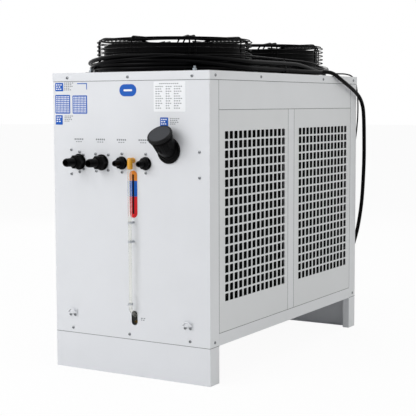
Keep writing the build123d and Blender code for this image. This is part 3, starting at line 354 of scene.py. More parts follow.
class MeshKit:
    """Gathers several simple bodies, in millimetres, into one mesh."""

    def __init__(self) -> None:
        """Starts empty."""
        self.points: list[Vector] = []
        self.faces: list[tuple[int, ...]] = []

    def add(self, points: list[Vector], faces: list[tuple[int, ...]]) -> None:
        """Adds points and faces, shifting the indices."""
        start = len(self.points)
        self.points.extend(points)
        self.faces.extend(tuple(index + start for index in face) for face in faces)

    def block(self, x: Pair, y: Pair, z: Pair, place: Matrix | None = None) -> None:
        """Adds a box between pairs of X, Y and Z, in a place of its own if one is given."""
        corners = [Vector((a, b, c)) for a in sorted(x) for b in sorted(y) for c in sorted(z)]
        faces = [(0, 1, 3, 2), (4, 6, 7, 5), (0, 4, 5, 1), (2, 3, 7, 6), (0, 2, 6, 4), (1, 5, 7, 3)]
        self.add([place @ corner for corner in corners] if place else corners, faces)

    def skin(self, rings: list[list[Vector]], closed: bool = False) -> None:
        """Adds a body through rings of points, with capped ends unless the last ring meets the first."""
        sides, count = len(rings[0]), len(rings)
        faces = []
        for level in range(count if closed else count - 1):
            low, high = level * sides, (level + 1) % count * sides
            faces += [(low + i, low + (i + 1) % sides, high + (i + 1) % sides, high + i) for i in range(sides)]
        if not closed:
            faces += [tuple(reversed(range(sides))), tuple(range((count - 1) * sides, count * sides))]
        self.add([point for ring in rings for point in ring], faces)

    def lathe(self, profile: list[Pair], place: Matrix, sides: int = 32,
              radius_of: Callable[[float, float, float], float] | None = None) -> None:
        """Adds a turned body.

        Args:
            profile: Radius and height pairs from one end to the other.
            place: The matrix that takes the body's own Z axis and origin to the object's frame.
            sides: How many sides the turned body has.
            radius_of: A function of radius, height and angle that gives the final radius.
        """
        rings = []
        for radius, height in profile:
            ring = []
            for side in range(sides):
                turn = 2 * math.pi * side / sides
                reach = radius_of(radius, height, turn) if radius_of else radius
                ring.append(place @ Vector((reach * math.cos(turn), reach * math.sin(turn), height)))
            rings.append(ring)
        self.skin(rings)

    def wire(self, line: list[Vector], radius: float | list[float], sides: int = 8, closed: bool = False) -> None:
        """Adds a round wire or a round body along a line.

        Args:
            line: The points of the wire's centre line.
            radius: The wire's radius, or one radius for each point.
            sides: How many sides its section has.
            closed: Whether the last point joins the first.
        """
        count = len(line)
        radii = radius if isinstance(radius, list) else [radius] * count
        section = arc(0, 0, 1, 0, 360, sides)[:-1]
        normal = (line[1] - line[0]).orthogonal().normalized()
        rings = []
        for index, point in enumerate(line):
            before = line[index - 1] if index > 0 or closed else point
            after = line[(index + 1) % count] if index < count - 1 or closed else point
            direction = (after - before).normalized()
            normal = (normal - direction * normal.dot(direction)).normalized()
            across = direction.cross(normal)
            rings.append([point + (normal * a + across * b) * radii[index] for a, b in section])
        self.skin(rings, closed)

    def mesh(self, name: str, finish: Finish, angle: float | None = 35.0) -> bpy.types.Object:
        """Makes one object; faces that meet under the angle, in degrees, are shaded smooth."""
        mesh = bpy.data.meshes.new(name)
        mesh.from_pydata([tuple(point * MM) for point in self.points], [], self.faces)
        mesh.validate()
        mesh.update()
        if angle is not None:
            mesh.shade_smooth()
            mesh.set_sharp_from_angle(angle=math.radians(angle))
        mesh.materials.append(finish.build())
        return linked(name, mesh)

    def piece(self, name: str, finish: Finish, slot: str = "cabinet_paint", angle: float | None = None,
              body: str = CABINET, replaced: tuple[str, ...] = ()) -> bpy.types.Object:
        """Makes one object that rides on a body.

        Args:
            name: The piece's name.
            finish: The finish of the whole piece.
            slot: The name of a material slot; not used.
            angle: Faces that meet under this angle, in degrees, are shaded smooth; None keeps all flat.
            body: The body that carries it.
            replaced: The CAD nodes that it stands for.

        Returns:
            The new piece.
        """
        piece = self.mesh(name, finish, angle)
        finish_piece(piece, body, replaced)
        return piece


def sticker(name: str, outline: list[Pair], finish: Finish, proud: float = 0.3) -> None:
    """Builds a thin plate or label on the front wall from its outline in X and height."""
    kit = MeshKit()
    kit.skin([[Vector((x, WALL - depth, z)) for x, z in outline] for depth in (0, proud)])
    kit.piece(name, finish)


# Places of the screws, in millimetres: X on the lid's rims, X and height on both walls, and distance behind the
# lid's front edge on the sides. Those at 176.5 to 178.9 sit on the lugs' plates.
RIM_SCREWS = (-239, -0.5, 237.5)
FRONT_SCREWS = (
    (262.5, 725.8), (262.5, 647), (-227, 725), (-227, 646), (-229, 135), (-2.6, 135.3), (225.8, 135),
    (-238, 178.9), (-219.3, 178.9), (208.8, 176.5), (227.9, 176.5), (-194, 718.7), (-194, 653), (-129.6, 712.5),
    (-79.1, 711), (-79.8, 661), (-127, 657.4), (-26, 715.5), (-26, 656.5), (65, 715.8), (65, 656.2),
    (-178, 709), (-178, 663),
)
REAR_SCREWS = ((-229, 135), (0, 135), (226, 135), (-262, 725), (-262, 646), (262, 400), (-262, 400))
SIDE_SCREWS = ((34.6, 960), (329.7, 960), (811, 960), (1085, 960), (30, 134), (1095, 134))
# How long the rows of a caption are, as shares of the longest.
ROW_LENGTHS = (1.0, 0.8, 0.92, 0.6, 0.75)


@dataclass
class Cabinet:
    """The sheet-metal cabinet: its punched grilles, screws, labels and lugs."""

    half_width: float = 300
    sheet: float = 1.5
    pan_depth: float = 12
    columns: int = 14
    rows: int = 18
    pitch: float = 30
    hole_width: float = 22.6
    hole_height: float = 24.4
    hole_corner: float = 1.5
    side_margin: float = 36.7
    foot_margin: float = 95.5
    screw_radius: float = 5.0
    screw_height: float = 2.6

    def build(self) -> None:
        """Builds everything on the cabinet."""
        for side_name, side in (("right", 1), ("left", -1)):
            for place in ("front", "rear"):
                self.grille(side_name, side, place)
        # A press brake leaves the outer bends of the folded sheets a little round.
        for name in SHELL:
            bevel(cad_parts[name], 0.5, 2, 60)
        self.seams()
        self.lug_hoods()
        self.screws()
        self.labels()

    def lug_hoods(self) -> None:
        """Builds the arched hood over the two screws of each lug."""
        kit = MeshKit()
        for node in ("lug_left", "lug_right"):
            low, high = box(node)
            middle = (low.x + high.x) / 2
            line = [Vector((x, low.y - 1, high.z + lift)) for x, lift in
                    ((low.x + 1, -10), (middle - 7, 1), (middle + 7, 1), (high.x - 1, -10))]
            for depth in (0, 3, 6):
                kit.wire([point + BACKWARD * depth for point in rounded_line(line, 6)], 1.8, 10)
        kit.piece("lug_hoods", POWDER_WHITE, angle=35)

    def seams(self) -> None:
        """Builds dark lines over the joints between the sheets: painted shade for the gaps."""
        line, gap, proud = 0.75, 0.4, 0.15
        kit = MeshKit()
        upper, mullion = box("upper_panel_right"), box("mullion_right")
        rim, joint, foot, eaves = LID[0].z - line, box("front_panel")[0].z, mullion[0].z, upper[0].z - gap
        start, end = upper[0].y, upper[1].y
        side_wall = self.half_width - self.sheet
        for face, depth in ((WALL, -proud), (REAR_WALL, proud)):
            for height in (rim, joint):
                kit.block((-side_wall, side_wall), (face, face + depth), (height - line, height + line))
        for side in (1, -1):
            depths = (side * side_wall, side * (side_wall + proud))
            for height, low, high in ((rim, WALL, REAR_WALL), (eaves, start, end), (foot, start, end),
                                      (joint, WALL, start), (joint, end, REAR_WALL)):
                kit.block(depths, (low, high), (height - line, height + line))
            for y, top in ((start - gap, rim), (end + gap, rim), (mullion[0].y - gap, eaves),
                           (mullion[1].y + gap, eaves)):
                kit.block(depths, (y - line, y + line), (foot, top))
        kit.piece("joint_lines", SEAM_PAINTED_SHADE, "black_rubber")

    def grille(self, side_name: str, side: int, place: str) -> None:
        """Builds one punched panel: the holed sheet and its folded edges.

        Args:
            side_name: "right" or "left".
            side: 1 for the right side, -1 for the left.
            place: "front" or "rear".
        """
        node = f"grille_{side_name}_{place}"
        low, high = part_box(node)
        face = max(abs(low[0]), abs(high[0]))
        ys, zs = (
            [low[axis], *(low[axis] + (margin + step * self.pitch + part) * MM for step in range(count)
                          for part in (0, hole)), high[axis]]
            for axis, margin, count, hole in ((1, self.side_margin, self.columns, self.hole_width),
                                              (2, self.foot_margin, self.rows, self.hole_height))
        )
        sheet = bmesh.new()
        grid = [[sheet.verts.new((side * face, y, z)) for z in zs] for y in ys]
        for i in range(len(ys) - 1):
            for j in range(len(zs) - 1):
                corners = (grid[i][j], grid[i + 1][j], grid[i + 1][j + 1], grid[i][j + 1])
                if i % 2 == 1 and j % 2 == 1:
                    self._punch(sheet, corners)
                else:
                    sheet.faces.new(corners)
        outline = (set(grid[0]), set(grid[-1]), {line[0] for line in grid}, {line[-1] for line in grid})
        edges = [edge for edge in sheet.edges if any(rim.issuperset(edge.verts) for rim in outline)]
        fold = bmesh.ops.extrude_edge_only(sheet, edges=edges)["geom"]
        lips = [item for item in fold if isinstance(item, bmesh.types.BMVert)]
        bmesh.ops.translate(sheet, verts=lips, vec=(side * (self.sheet - self.pan_depth) * MM, 0, 0))
        bmesh.ops.recalc_face_normals(sheet, faces=sheet.faces)
        mesh = bpy.data.meshes.new(node + "_sheet")
        sheet.to_mesh(mesh)
        sheet.free()
        mesh.materials.append(POWDER_GRILLE.build())
        piece = linked(node + "_sheet", mesh)
        widest = max(mesh.polygons, key=lambda polygon: polygon.area)
        solid = piece.modifiers.new("sheet", "SOLIDIFY")
        solid.thickness = self.sheet * MM
        solid.offset = 1.0 if widest.normal.x * side < 0 else -1.0
        bevel(piece, 0.25, 1, 30)
        finish_piece(piece, f"{side_name}_{place}_grille", (node,))

    def _punch(self, sheet: bmesh.types.BMesh, corners: tuple[bmesh.types.BMVert, ...]) -> None:
        """Fills a cell's corners round a punched hole with small rounded corners."""
        centre = sum((corner.co for corner in corners), Vector()) / 4
        for corner in corners:
            toward_y, toward_z = (math.copysign(self.hole_corner * MM, centre[axis] - corner.co[axis])
                                  for axis in (1, 2))
            along_y = sheet.verts.new(corner.co + Vector((0, toward_y, 0)))
            along_z = sheet.verts.new(corner.co + Vector((0, 0, toward_z)))
            sheet.faces.new((corner, along_y, along_z))

    def screws(self) -> None:
        """Builds the pan-head screws of the panels, each with a cross recess painted black for its shade."""
        kit, recess = MeshKit(), MeshKit()
        radius, height = self.screw_radius, self.screw_height
        head = [(radius, 0.0), (radius, 0.35 * height), (0.9 * radius, 0.7 * height),
                (0.6 * radius, 0.94 * height), (0.25 * radius, height)]
        long, short = 0.58 * radius, 0.13 * radius
        for place, axis in self._screw_places():
            matrix = placed(place, axis)
            kit.lathe(head, matrix, 20)
            for x, y in ((long, short), (short, long)):
                recess.block((-x, x), (-y, y), (0.5 * height, height + 0.05), matrix)
        kit.piece("panel_screws", SCREW_NICKEL, "zinc_steel", 35)
        # The black crosses in the recesses are painted shade.
        recess.piece("screw_recess_painted_shade", PRINT_AND_SHADE_BLACK, "zinc_steel")

    def _screw_places(self) -> list[tuple[Vector, Vector]]:
        """Lists the screws' places and outward axes, on all four sides."""
        out = [(Vector((x, lid.y, 958)), axis) for x in RIM_SCREWS for lid, axis in zip(LID, (FORWARD, BACKWARD))]
        for x, z in FRONT_SCREWS:
            lift = self.sheet if 170 < z < 180 else 0
            out.append((Vector((x, WALL - lift, z)), FORWARD))
        out += [(Vector((x, REAR_WALL, z)), BACKWARD) for x, z in REAR_SCREWS]
        for side in (1, -1):
            for y, z in SIDE_SCREWS:
                face = self.half_width if z > 900 else self.half_width - self.sheet
                out.append((Vector((side * face, LID[0].y + y, z)), Vector((side, 0, 0))))
        return out

    @staticmethod
    def plate(name: str, x: Pair, z: Pair, finish: Finish, proud: float = 0.25, corner: float = 2.0) -> None:
        """Builds a thin plate or label with rounded corners on the front wall.

        Args:
            name: The piece's name.
            x: Its left and right edges.
            z: Its lower and upper edges.
            finish: Its finish.
            proud: How far it stands out of the wall.
            corner: The radius of its corners, cut down to what the plate has room for.
        """
        corner = min(corner, (x[1] - x[0]) / 2 - 0.01, (z[1] - z[0]) / 2 - 0.01)
        left, right, low, high = x[0] + corner, x[1] - corner, z[0] + corner, z[1] - corner
        middles = ((right, high), (left, high), (left, low), (right, low))
        sticker(name, [point for middle, start in zip(middles, SQUARES)
                       for point in arc(*middle, corner, start, 90, 6)], finish, proud)

    def labels(self) -> None:
        """Builds the bare plates and generic labels on the front wall."""
        self.plate("data_plate", (97, 213), (849, 942), VINYL_WHITE, 0.5, 3)
        rows = MeshKit()
        for x, width in ((104, 30), (142, 24), (172, 32)):
            self._text_marks(rows, x, 925, 10, width, 0.65, 7.4)
        self._text_marks(rows, 118, 934, 1, 72, 0.65)
        rows.piece("data_plate_marks", INK_GREY)
        tags = MeshKit()
        for name, x, z in (("blue_tag_top", (-290, -257), (915, 942)), ("blue_tag_low", (-290, -261), (806, 837)),
                           ("neck_tag", (120, 150), (789, 831))):
            self.plate(name, x, z, VINYL_BLUE)
            self._text_marks(tags, x[0] + 4, z[1] - 8, 3, x[1] - x[0] - 7, 0.4, 7.0, 3.6)
        tags.piece("tag_marks", VINYL_WHITE)
        self.plate("emblem_plate", (-33, 32), (897, 935), VINYL_BLUE, 0.4, 19)
        self.plate("emblem_bar", (-17, 16), (913, 919), VINYL_WHITE, 0.5, 3)
        self.tile("pattern_tile_left", -290.5, 842, 61)
        self.tile("pattern_tile_right", -219.7, 842, 59)
        marks = MeshKit()
        for x, z, lines, width in ((-253, 940, 5, 40), (-253, 833, 4, 36), (157, 826, 4, 36), (42, 190, 2, 20)):
            self._text_marks(marks, x, z, lines, width)
        for x in (-194.4, -108.3, -26, 57.5):
            self._text_marks(marks, x - 19, 757, 1, 38, rise=5.0)
            self._text_marks(marks, x - 13, 750, 1, 26)
        marks.piece("caption_marks", INK_GREY)
        stripe = MeshKit()
        stripe.block((-200, -160.6), (WALL - 0.3, WALL), (937.5, 940.4))
        stripe.block((-163.5, -160.6), (WALL - 0.3, WALL), (919.7, 937.5))
        stripe.piece("corner_stripe", VINYL_BLUE)

    @staticmethod
    def _text_marks(kit: MeshKit, x: float, z: float, lines: int, width: float, proud: float = 0.2,
                    pitch: float = 5.5, rise: float = 2.6) -> None:
        """Adds rows of short bars in place of a printed caption.

        Args:
            kit: The mesh kit that gets the bars.
            x: The left edge.
            z: The foot of the first row.
            lines: How many rows there are.
            width: The longest row's length.
            proud: How far the bars stand out of the wall.
            pitch: The distance from row to row.
            rise: The height of a bar.
        """
        for line in range(lines):
            length = width * ROW_LENGTHS[line % len(ROW_LENGTHS)]
            dashes = max(2, int(length / 7))
            foot = z - line * pitch
            for dash in range(dashes):
                left = x + dash * length / dashes
                kit.block((left, left + 0.62 * length / dashes), (WALL - proud, WALL), (foot, foot + rise))

    def tile(self, name: str, x: float, z: float, size: float, cells: int = 9, margin: float = 3,
             share: float = 0.64) -> None:
        """Builds a blue square, by its lower left corner, with a plain lattice of white dots."""
        self.plate(name, (x, x + size), (z, z + size), VINYL_BLUE, 0.25, 3)
        dots = MeshKit()
        cell = (size - 2 * margin) / cells
        dot = share * cell
        lows = [margin + index * cell + (cell - dot) / 2 for index in range(cells)]
        for left in lows:
            for low in lows:
                dots.block((x + left, x + left + dot), (WALL - 0.4, WALL - 0.25), (z + low, z + low + dot))
        dots.piece(name + "_dots", VINYL_WHITE)


@dataclass
class Fan:
    """The wire guard over one roof fan."""

    place: str
    radius: float = 260
    height: float = 115
    ring_wire: float = 1.9
    bar_wire: float = 2.6
    ring_top: float = 102
    side_pitch: float = 13.4
    side_rings: int = 7
    top_rings: int = 11
    eye: float = 118
    double_spacing: float = 19
    plate_radius: float = 76
    plate_height: float = 88
    plate_thickness: float = 3
    foot: float = 3
    foot_width: float = 46
    arch_up: float = 1.5
    arch_out: float = 1
    arch_bend: float = 24

    def __post_init__(self) -> None:
        """Finds the fan's axis and the lid from the frame."""
        low, high = box(f"fan_duct_{self.place}")
        self.centre = Vector(((low.x + high.x) / 2, (low.y + high.y) / 2, low.z))

    def _at(self, angle: float, reach: float, height: float, shift: float = 0.0) -> Vector:
        """Gives a point by its angle, distance from the axis, height over the lid and sideways shift."""
        x, y = math.cos(math.radians(angle)), math.sin(math.radians(angle))
        return self.centre + Vector((reach * x - shift * y, reach * y + shift * x, height))

    def build(self) -> None:
        """Builds the wire basket, its feet and the motor plate as one welded piece."""
        kit = MeshKit()
        top = self.height - self.bar_wire
        side = self.radius - 2 * self.ring_wire - self.bar_wire
        outer = side - self.bar_wire
        pitch = (outer - self.eye) / (self.top_rings - 1)
        rings = [(self.radius - self.ring_wire, self.ring_top - ring * self.side_pitch)
                 for ring in range(self.side_rings)]
        rings += [(outer - ring * pitch, top - self.bar_wire - self.ring_wire) for ring in range(self.top_rings)]
        for reach, height in rings:
            kit.wire([self._at(360 * step / 96, reach, height) for step in range(96)], self.ring_wire, closed=True)
        plate_top = self.plate_height + self.plate_thickness + self.bar_wire
        bar = ((side, self.foot), (side + self.arch_out, top + self.arch_up), (self.eye, top),
               (self.plate_radius - 4, plate_top), (self.plate_radius - 24, plate_top))
        half = self.double_spacing / 2
        span = half + self.bar_wire
        for angle in DIAGONALS:
            for shift in (-half, half):
                corners = [self._at(angle, reach, height, shift) for reach, height in bar]
                kit.wire(rounded_line(corners, self.arch_bend, 8), self.bar_wire, 10)
            for reach, height in ((side, 60), (side - 30, top)):
                kit.wire([self._at(angle, reach, height, shift) for shift in (-span, span)], self.ring_wire)
        low = self.ring_top - (self.side_rings - 1) * self.side_pitch - self.ring_wire
        for angle in SQUARES:
            corners = [self._at(angle, side, low), self._at(angle, side, top),
                       self._at(angle, self.eye - self.ring_wire, top)]
            kit.wire(rounded_line(corners, 12), self.bar_wire, 10)
        self._feet(kit)
        self._motor_plate(kit)
        kit.piece(f"wire_guard_{self.place}", WIRE_BLACK, "black_paint", 40,
                  replaced=(f"fan_guard_{self.place}", f"guard_rings_{self.place}"))

    def _feet(self, kit: MeshKit, root: float = 248, tip: float = 290, bulge: float = 11) -> None:
        """Adds the four foot plates with rounded outer ends."""
        half = self.foot_width / 2
        outline = [(root, -half), (tip, -half), *((tip + bulge * x, half * y) for x, y in arc(0, 0, 1, -90, 180, 8)),
                   (tip, half), (root, half)]
        for angle in DIAGONALS:
            kit.skin([[self._at(angle, reach, level, shift) for reach, shift in outline] for level in (0, self.foot)])

    def _motor_plate(self, kit: MeshKit) -> None:
        """Adds the round motor plate with a raised rib and four screw heads."""
        radius, level = self.plate_radius - 2, self.plate_thickness
        kit.lathe([(radius, 0), (radius, level), (radius - 14, level), (radius - 17, level + 1.5),
                   (radius - 26, level + 1.5), (radius - 29, level), (8, level)],
                  placed(self.centre + UP * self.plate_height, UP), 48)
        for angle in SQUARES:
            place = self._at(angle, 32, self.plate_height + level)
            kit.lathe([(5, 0), (5, 3), (3.5, 4)], placed(place, UP), 16)


@dataclass
class FrontFittings:
    """The hose fittings, the filling neck with its cap, and the level gauge."""

    cap_radius: float = 40
    cap_height: float = 12.5
    cap_flutes: int = 40
    cap_top: float = 69
    cap_mouth: float = 33.6
    tilt: float = math.radians(39)
    flange: float = 41.5
    neck_root: float = 29.5
    neck_mouth: float = 35.5
    neck_length: float = 55
    elbow_radius: float = 8.8
    elbow_reach: float = 18

    def __post_init__(self) -> None:
        """Finds the neck's bend and axis."""
        self.bend = Vector((152, WALL - 12, 729))
        self.axis = Vector((0, -math.sin(self.tilt), math.cos(self.tilt)))

    def build(self) -> None:
        """Builds the fine fittings."""
        for size, tail, bore, barbs in (("large", 12.6, 9.4, 4), ("small", 8.6, 5.6, 3)):
            for way in ("outlet", "inlet"):
                self.hose_fitting(f"water_{way}_{size}", tail, bore, barbs)
        self.elbow()
        self.cap()
        self.neck()
        self.scale()
        self.spring_clip()

    def cap(self) -> None:
        """Builds the screw cap: a fluted skirt, a rounded rim and a flat dished top."""
        radius, height, mouth = self.cap_radius, self.cap_height, self.cap_mouth
        base = placed(self.bend + self.axis * (self.cap_top - height), self.axis)
        skirt = height - 5

        def fluted(reach: float, level: float, angle: float) -> float:
            """Cuts the grip's flutes into the skirt."""
            if reach < radius - 0.3 or level > skirt:
                return reach
            return reach - 0.9 * max(0.0, math.cos(angle * self.cap_flutes)) ** 0.5

        kit = MeshKit()
        kit.lathe(
            [(mouth, height - 3.2), (mouth, 0), (radius - 1.2, 0), (radius - 0.2, 1), (radius, 2),
             (radius, skirt - 0.5), (radius, skirt + 0.2), (radius, height - 3.2), (radius - 0.7, height - 1.2),
             (radius - 2.2, height - 0.2), (radius - 3, height), (radius - 3.6, height - 0.6), (3, height - 0.6)],
            base, 8 * self.cap_flutes, fluted)
        kit.piece("screw_cap", CAP_BLACK, "black_plastic", 30, "filler_cap", ("fill_cap",))
        # The flat top is painted lighter for the grazing light on it.
        flat = MeshKit()
        flat.lathe([(radius - 5.5, height - 0.9), (radius - 5.5, height - 0.5), (2, height - 0.5)], base, 96)
        flat.piece("cap_flat", CAP_TOP_PAINTED_LIGHT, "black_plastic", 35, "filler_cap")

    def neck(self, steps: int = 20, ribs: int = 7) -> None:
        """Builds the filling neck: a wall flange and one curved body that widens towards the cap."""
        x, z = self.bend.x, self.bend.z
        root, mouth, flange = self.neck_root, self.neck_mouth, self.flange
        end = self.bend + self.axis * self.neck_length
        kit = MeshKit()
        kit.wire(bend(Vector((x, WALL + 40, z - 2)), Vector((x, WALL - 14, z - 2)), end, steps),
                 [root + (mouth - root) * (step / steps) ** 1.6 for step in range(steps + 1)], 72)
        kit.lathe([(flange - 1, 0), (flange, 1), (flange, 4.5), (flange - 1.5, 6), (root + 3, 6), (root + 1, 9),
                   (root - 1, 12)], placed(Vector((x, WALL, z)), FORWARD), 96)
        for drop in (3.9, 7.9):
            kit.lathe([(mouth - 1, 0), (mouth + 1.2, 0.4), (mouth + 1.2, 2), (mouth - 1, 2.4)],
                      placed(end - self.axis * drop, self.axis), 72)
        upward = Vector((0, math.cos(self.tilt), math.sin(self.tilt)))
        for a, b in arc(0, 0, 1, 180, 180, ribs - 1):
            out = Vector((a, 0, 0)) + upward * b
            kit.wire([self.bend + self.axis * 14 + out * (root + 1.4), end - self.axis * 9 + out * (mouth - 1)], 1.6)
        kit.piece("filling_neck", NYLON_BLACK, "black_plastic", 35, replaced=("fill_neck",))

    @staticmethod
    def hose_fitting(node: str, tail: float, bore: float, barbs: int) -> None:
        """Builds one hose fitting: wall flange, hexagon, collar and barbed tail with an open bore.

        Args:
            node: The CAD node that it takes the place of.
            tail: The tail's outer radius.
            bore: The bore's radius.
            barbs: How many barbs the tail has.
        """
        low, high = box(node)
        place = placed(Vector(((low.x + high.x) / 2, WALL, (low.z + high.z) / 2)), FORWARD)
        reach, flange = WALL - low.y, (high.x - low.x) / 2
        hexagon, collar = 0.34 * reach, 0.46 * reach
        kit = MeshKit()
        kit.lathe([(flange - 3, -28), (flange - 3, 0), (flange - 0.8, 0), (flange, 0.8), (flange, 3.2),
                   (flange - 1.2, 4.4), (bore, 4.4)], place, 64)
        kit.lathe([(0.86 * flange, 4), (0.94 * flange, 5.2), (0.94 * flange, hexagon - 1.5),
                   (0.84 * flange, hexagon), (bore, hexagon)], place, 6)
        step = (collar - hexagon) / 3
        for ring in range(3):
            foot, wide = hexagon + ring * step, (0.8 - 0.06 * ring) * flange
            kit.lathe([(wide - 1, foot - 0.4), (wide, foot + 0.4), (wide, foot + 0.7 * step),
                       (wide - 1.2, foot + step)], place, 48)
        profile = [(tail, collar - 1)]
        pitch = (reach - collar - 2) / barbs
        for barb in range(barbs):
            start = collar + 2 + barb * pitch
            profile += [(tail - 0.6, start), (tail + 1.5, start + 0.3), (tail + 1.3, start + 0.25 * pitch),
                        (tail - 0.6, start + 0.96 * pitch)]
        profile += [(bore + 0.8, reach), (bore, reach - 0.6), (bore, 6), (0.5, 5)]
        kit.lathe(profile, place, 48)
        kit.piece(node + "_fine", NYLON_BLACK, "black_plastic", 32, replaced=(node,))

    def elbow(self) -> None:
        """Builds the push-in elbow: a stout arm out of the wall, a leg down to the tube and its collars."""
        low, high = box("level_elbow")
        wide, leg = self.elbow_radius, high.z - low.z
        middle, height, front = (low.x + high.x) / 2, high.z - wide, WALL - self.elbow_reach
        kit = MeshKit()
        kit.lathe([(wide - 2.5, 0), (wide - 0.2, 0.8), (wide, 2), (wide, leg - 5), (wide - 0.6, leg - 2.6),
                   (wide - 2, leg - 0.8), (wide - 4, leg)], placed(Vector((middle, front, low.z)), UP), 36)
        kit.wire([Vector((middle, y, height)) for y in (WALL + 38, front)], wide - 2.4, 28)
        kit.lathe([(wide, 0), (wide, 2.4), (wide - 1, 3.2), (wide - 3, 3.2)],
                  placed(Vector((middle, WALL, height)), FORWARD), 36)
        kit.piece("amber_elbow", ACETAL_AMBER, "amber_plastic", 35, replaced=("level_elbow",))

    @staticmethod
    def scale() -> None:
        """Builds the level scale: a strip in three colours with a black line down its middle."""
        left, right, line = 2.4, 32.0, (13.2, 20.0)
        foot, red_top, blue_top, top = 512.4, 580.2, 630.4, 663.0
        middle, radius = (left + right) / 2, (right - left) / 2
        sticker("scale_orange", [(left, blue_top), (right, blue_top), *arc(middle, top - radius, radius, 0, 180, 16)],
                VINYL_ORANGE)
        sticker("scale_blue", [(left, red_top), (right, red_top), (right, blue_top), (left, blue_top)], VINYL_BLUE)
        sticker("scale_red", [*arc(middle, foot + radius, radius, 180, 180, 16), (right, red_top), (left, red_top)],
                VINYL_RED)
        kit = MeshKit()
        kit.block(line, (WALL - 0.5, WALL - 0.3), (525.3, 650.8))
        kit.piece("scale_line", PRINT_AND_SHADE_BLACK)

    @staticmethod
    def spring_clip() -> None:
        """Builds the small wire clip round the tube's foot."""
        kit = MeshKit()
        centre, wire = Vector((17, WALL - 21, 238)), 0.9
        for lift in (-2.2, 0, 2.2):
            kit.wire([centre + Vector((x, y, lift)) for x, y in arc(0, 0, 6.9, 0, 360, 24)[:-1]], wire, closed=True)
        for side in (-1, 1):
            foot = centre + Vector((side * 4, -5.6, side * 2.2))
            kit.wire([foot, foot + Vector((side * 4, -5, 0))], wire)
        kit.piece("tube_spring_clip", ZINC_PLATE, "zinc_steel", 35)


def display_window() -> None:
    """Builds the window over the controller's display, on the rear wall."""
    low, high = box("controller")
    middle = (low.x + high.x) / 2
    kit = MeshKit()
    kit.block((middle - 35.5, middle + 35.5), (high.y - 1.9, high.y - 0.4), (797.5, 826.5))
    kit.piece("display_window", DISPLAY_WINDOW, "black_plastic")


# The routes from each gland to the coil: X, distance behind the lid's front edge and height, in millimetres.
POWER_ROUTE = (
    (270, 1142, 255), (270, 1142, 285), (280, 1142, 317), (295, 1142, 366), (307, 1141, 425), (316, 1142, 495),
    (321, 1141, 575), (323.5, 1142, 660), (323, 1141, 745), (321, 1142, 812), (317, 1142, 862), (315, 1108, 901),
    (318, 1030, 929), (317, 946, 956), (305, 886, 985), (288, 846, 988), (277, 812, 987),
)
SIGNAL_ROUTE = (
    (265, 1142, 612), (265, 1142, 633), (268, 1140, 655), (277, 1138, 682), (286, 1138.5, 722), (293, 1138, 770),
    (297, 1138, 820), (297.5, 1138, 870), (294, 1138.5, 915), (287, 1138, 955), (275, 1131, 979),
    (263, 1095, 986), (260, 1040, 985.5), (260, 985, 985), (262, 937, 990),
)
# The signal cable's lay on the coil: laps from the right-hand side, and height over the lid in millimetres.
SIGNAL_LAY = (
    (0.02, 44), (0.06, 48), (0.11, 49), (0.17, 52), (0.21, 53), (0.245, 52), (0.28, 49), (0.315, 45), (0.35, 40),
    (0.385, 34), (0.42, 28), (0.455, 24), (0.49, 22), (0.53, 21), (0.57, 21),
)
# Where each turn of the coil lies: reach and height on the straights, then at the ends.
COIL_TURNS = (
    (285.5, 33.0, 268.0, 51.5), (283.5, 13.5, 268.5, 37.5), (268.0, 26.5, 268.5, 23.5), (268.5, 11.0, 268.5, 10.5),
)
# Ties: lap, lowest and highest height, inner and outer reach.
TIE_PLACES = ((0.105, 2, 44, 258, 294), (0.62, 2, 40, 259, 293), (0.9, 2, 52, 259, 280))


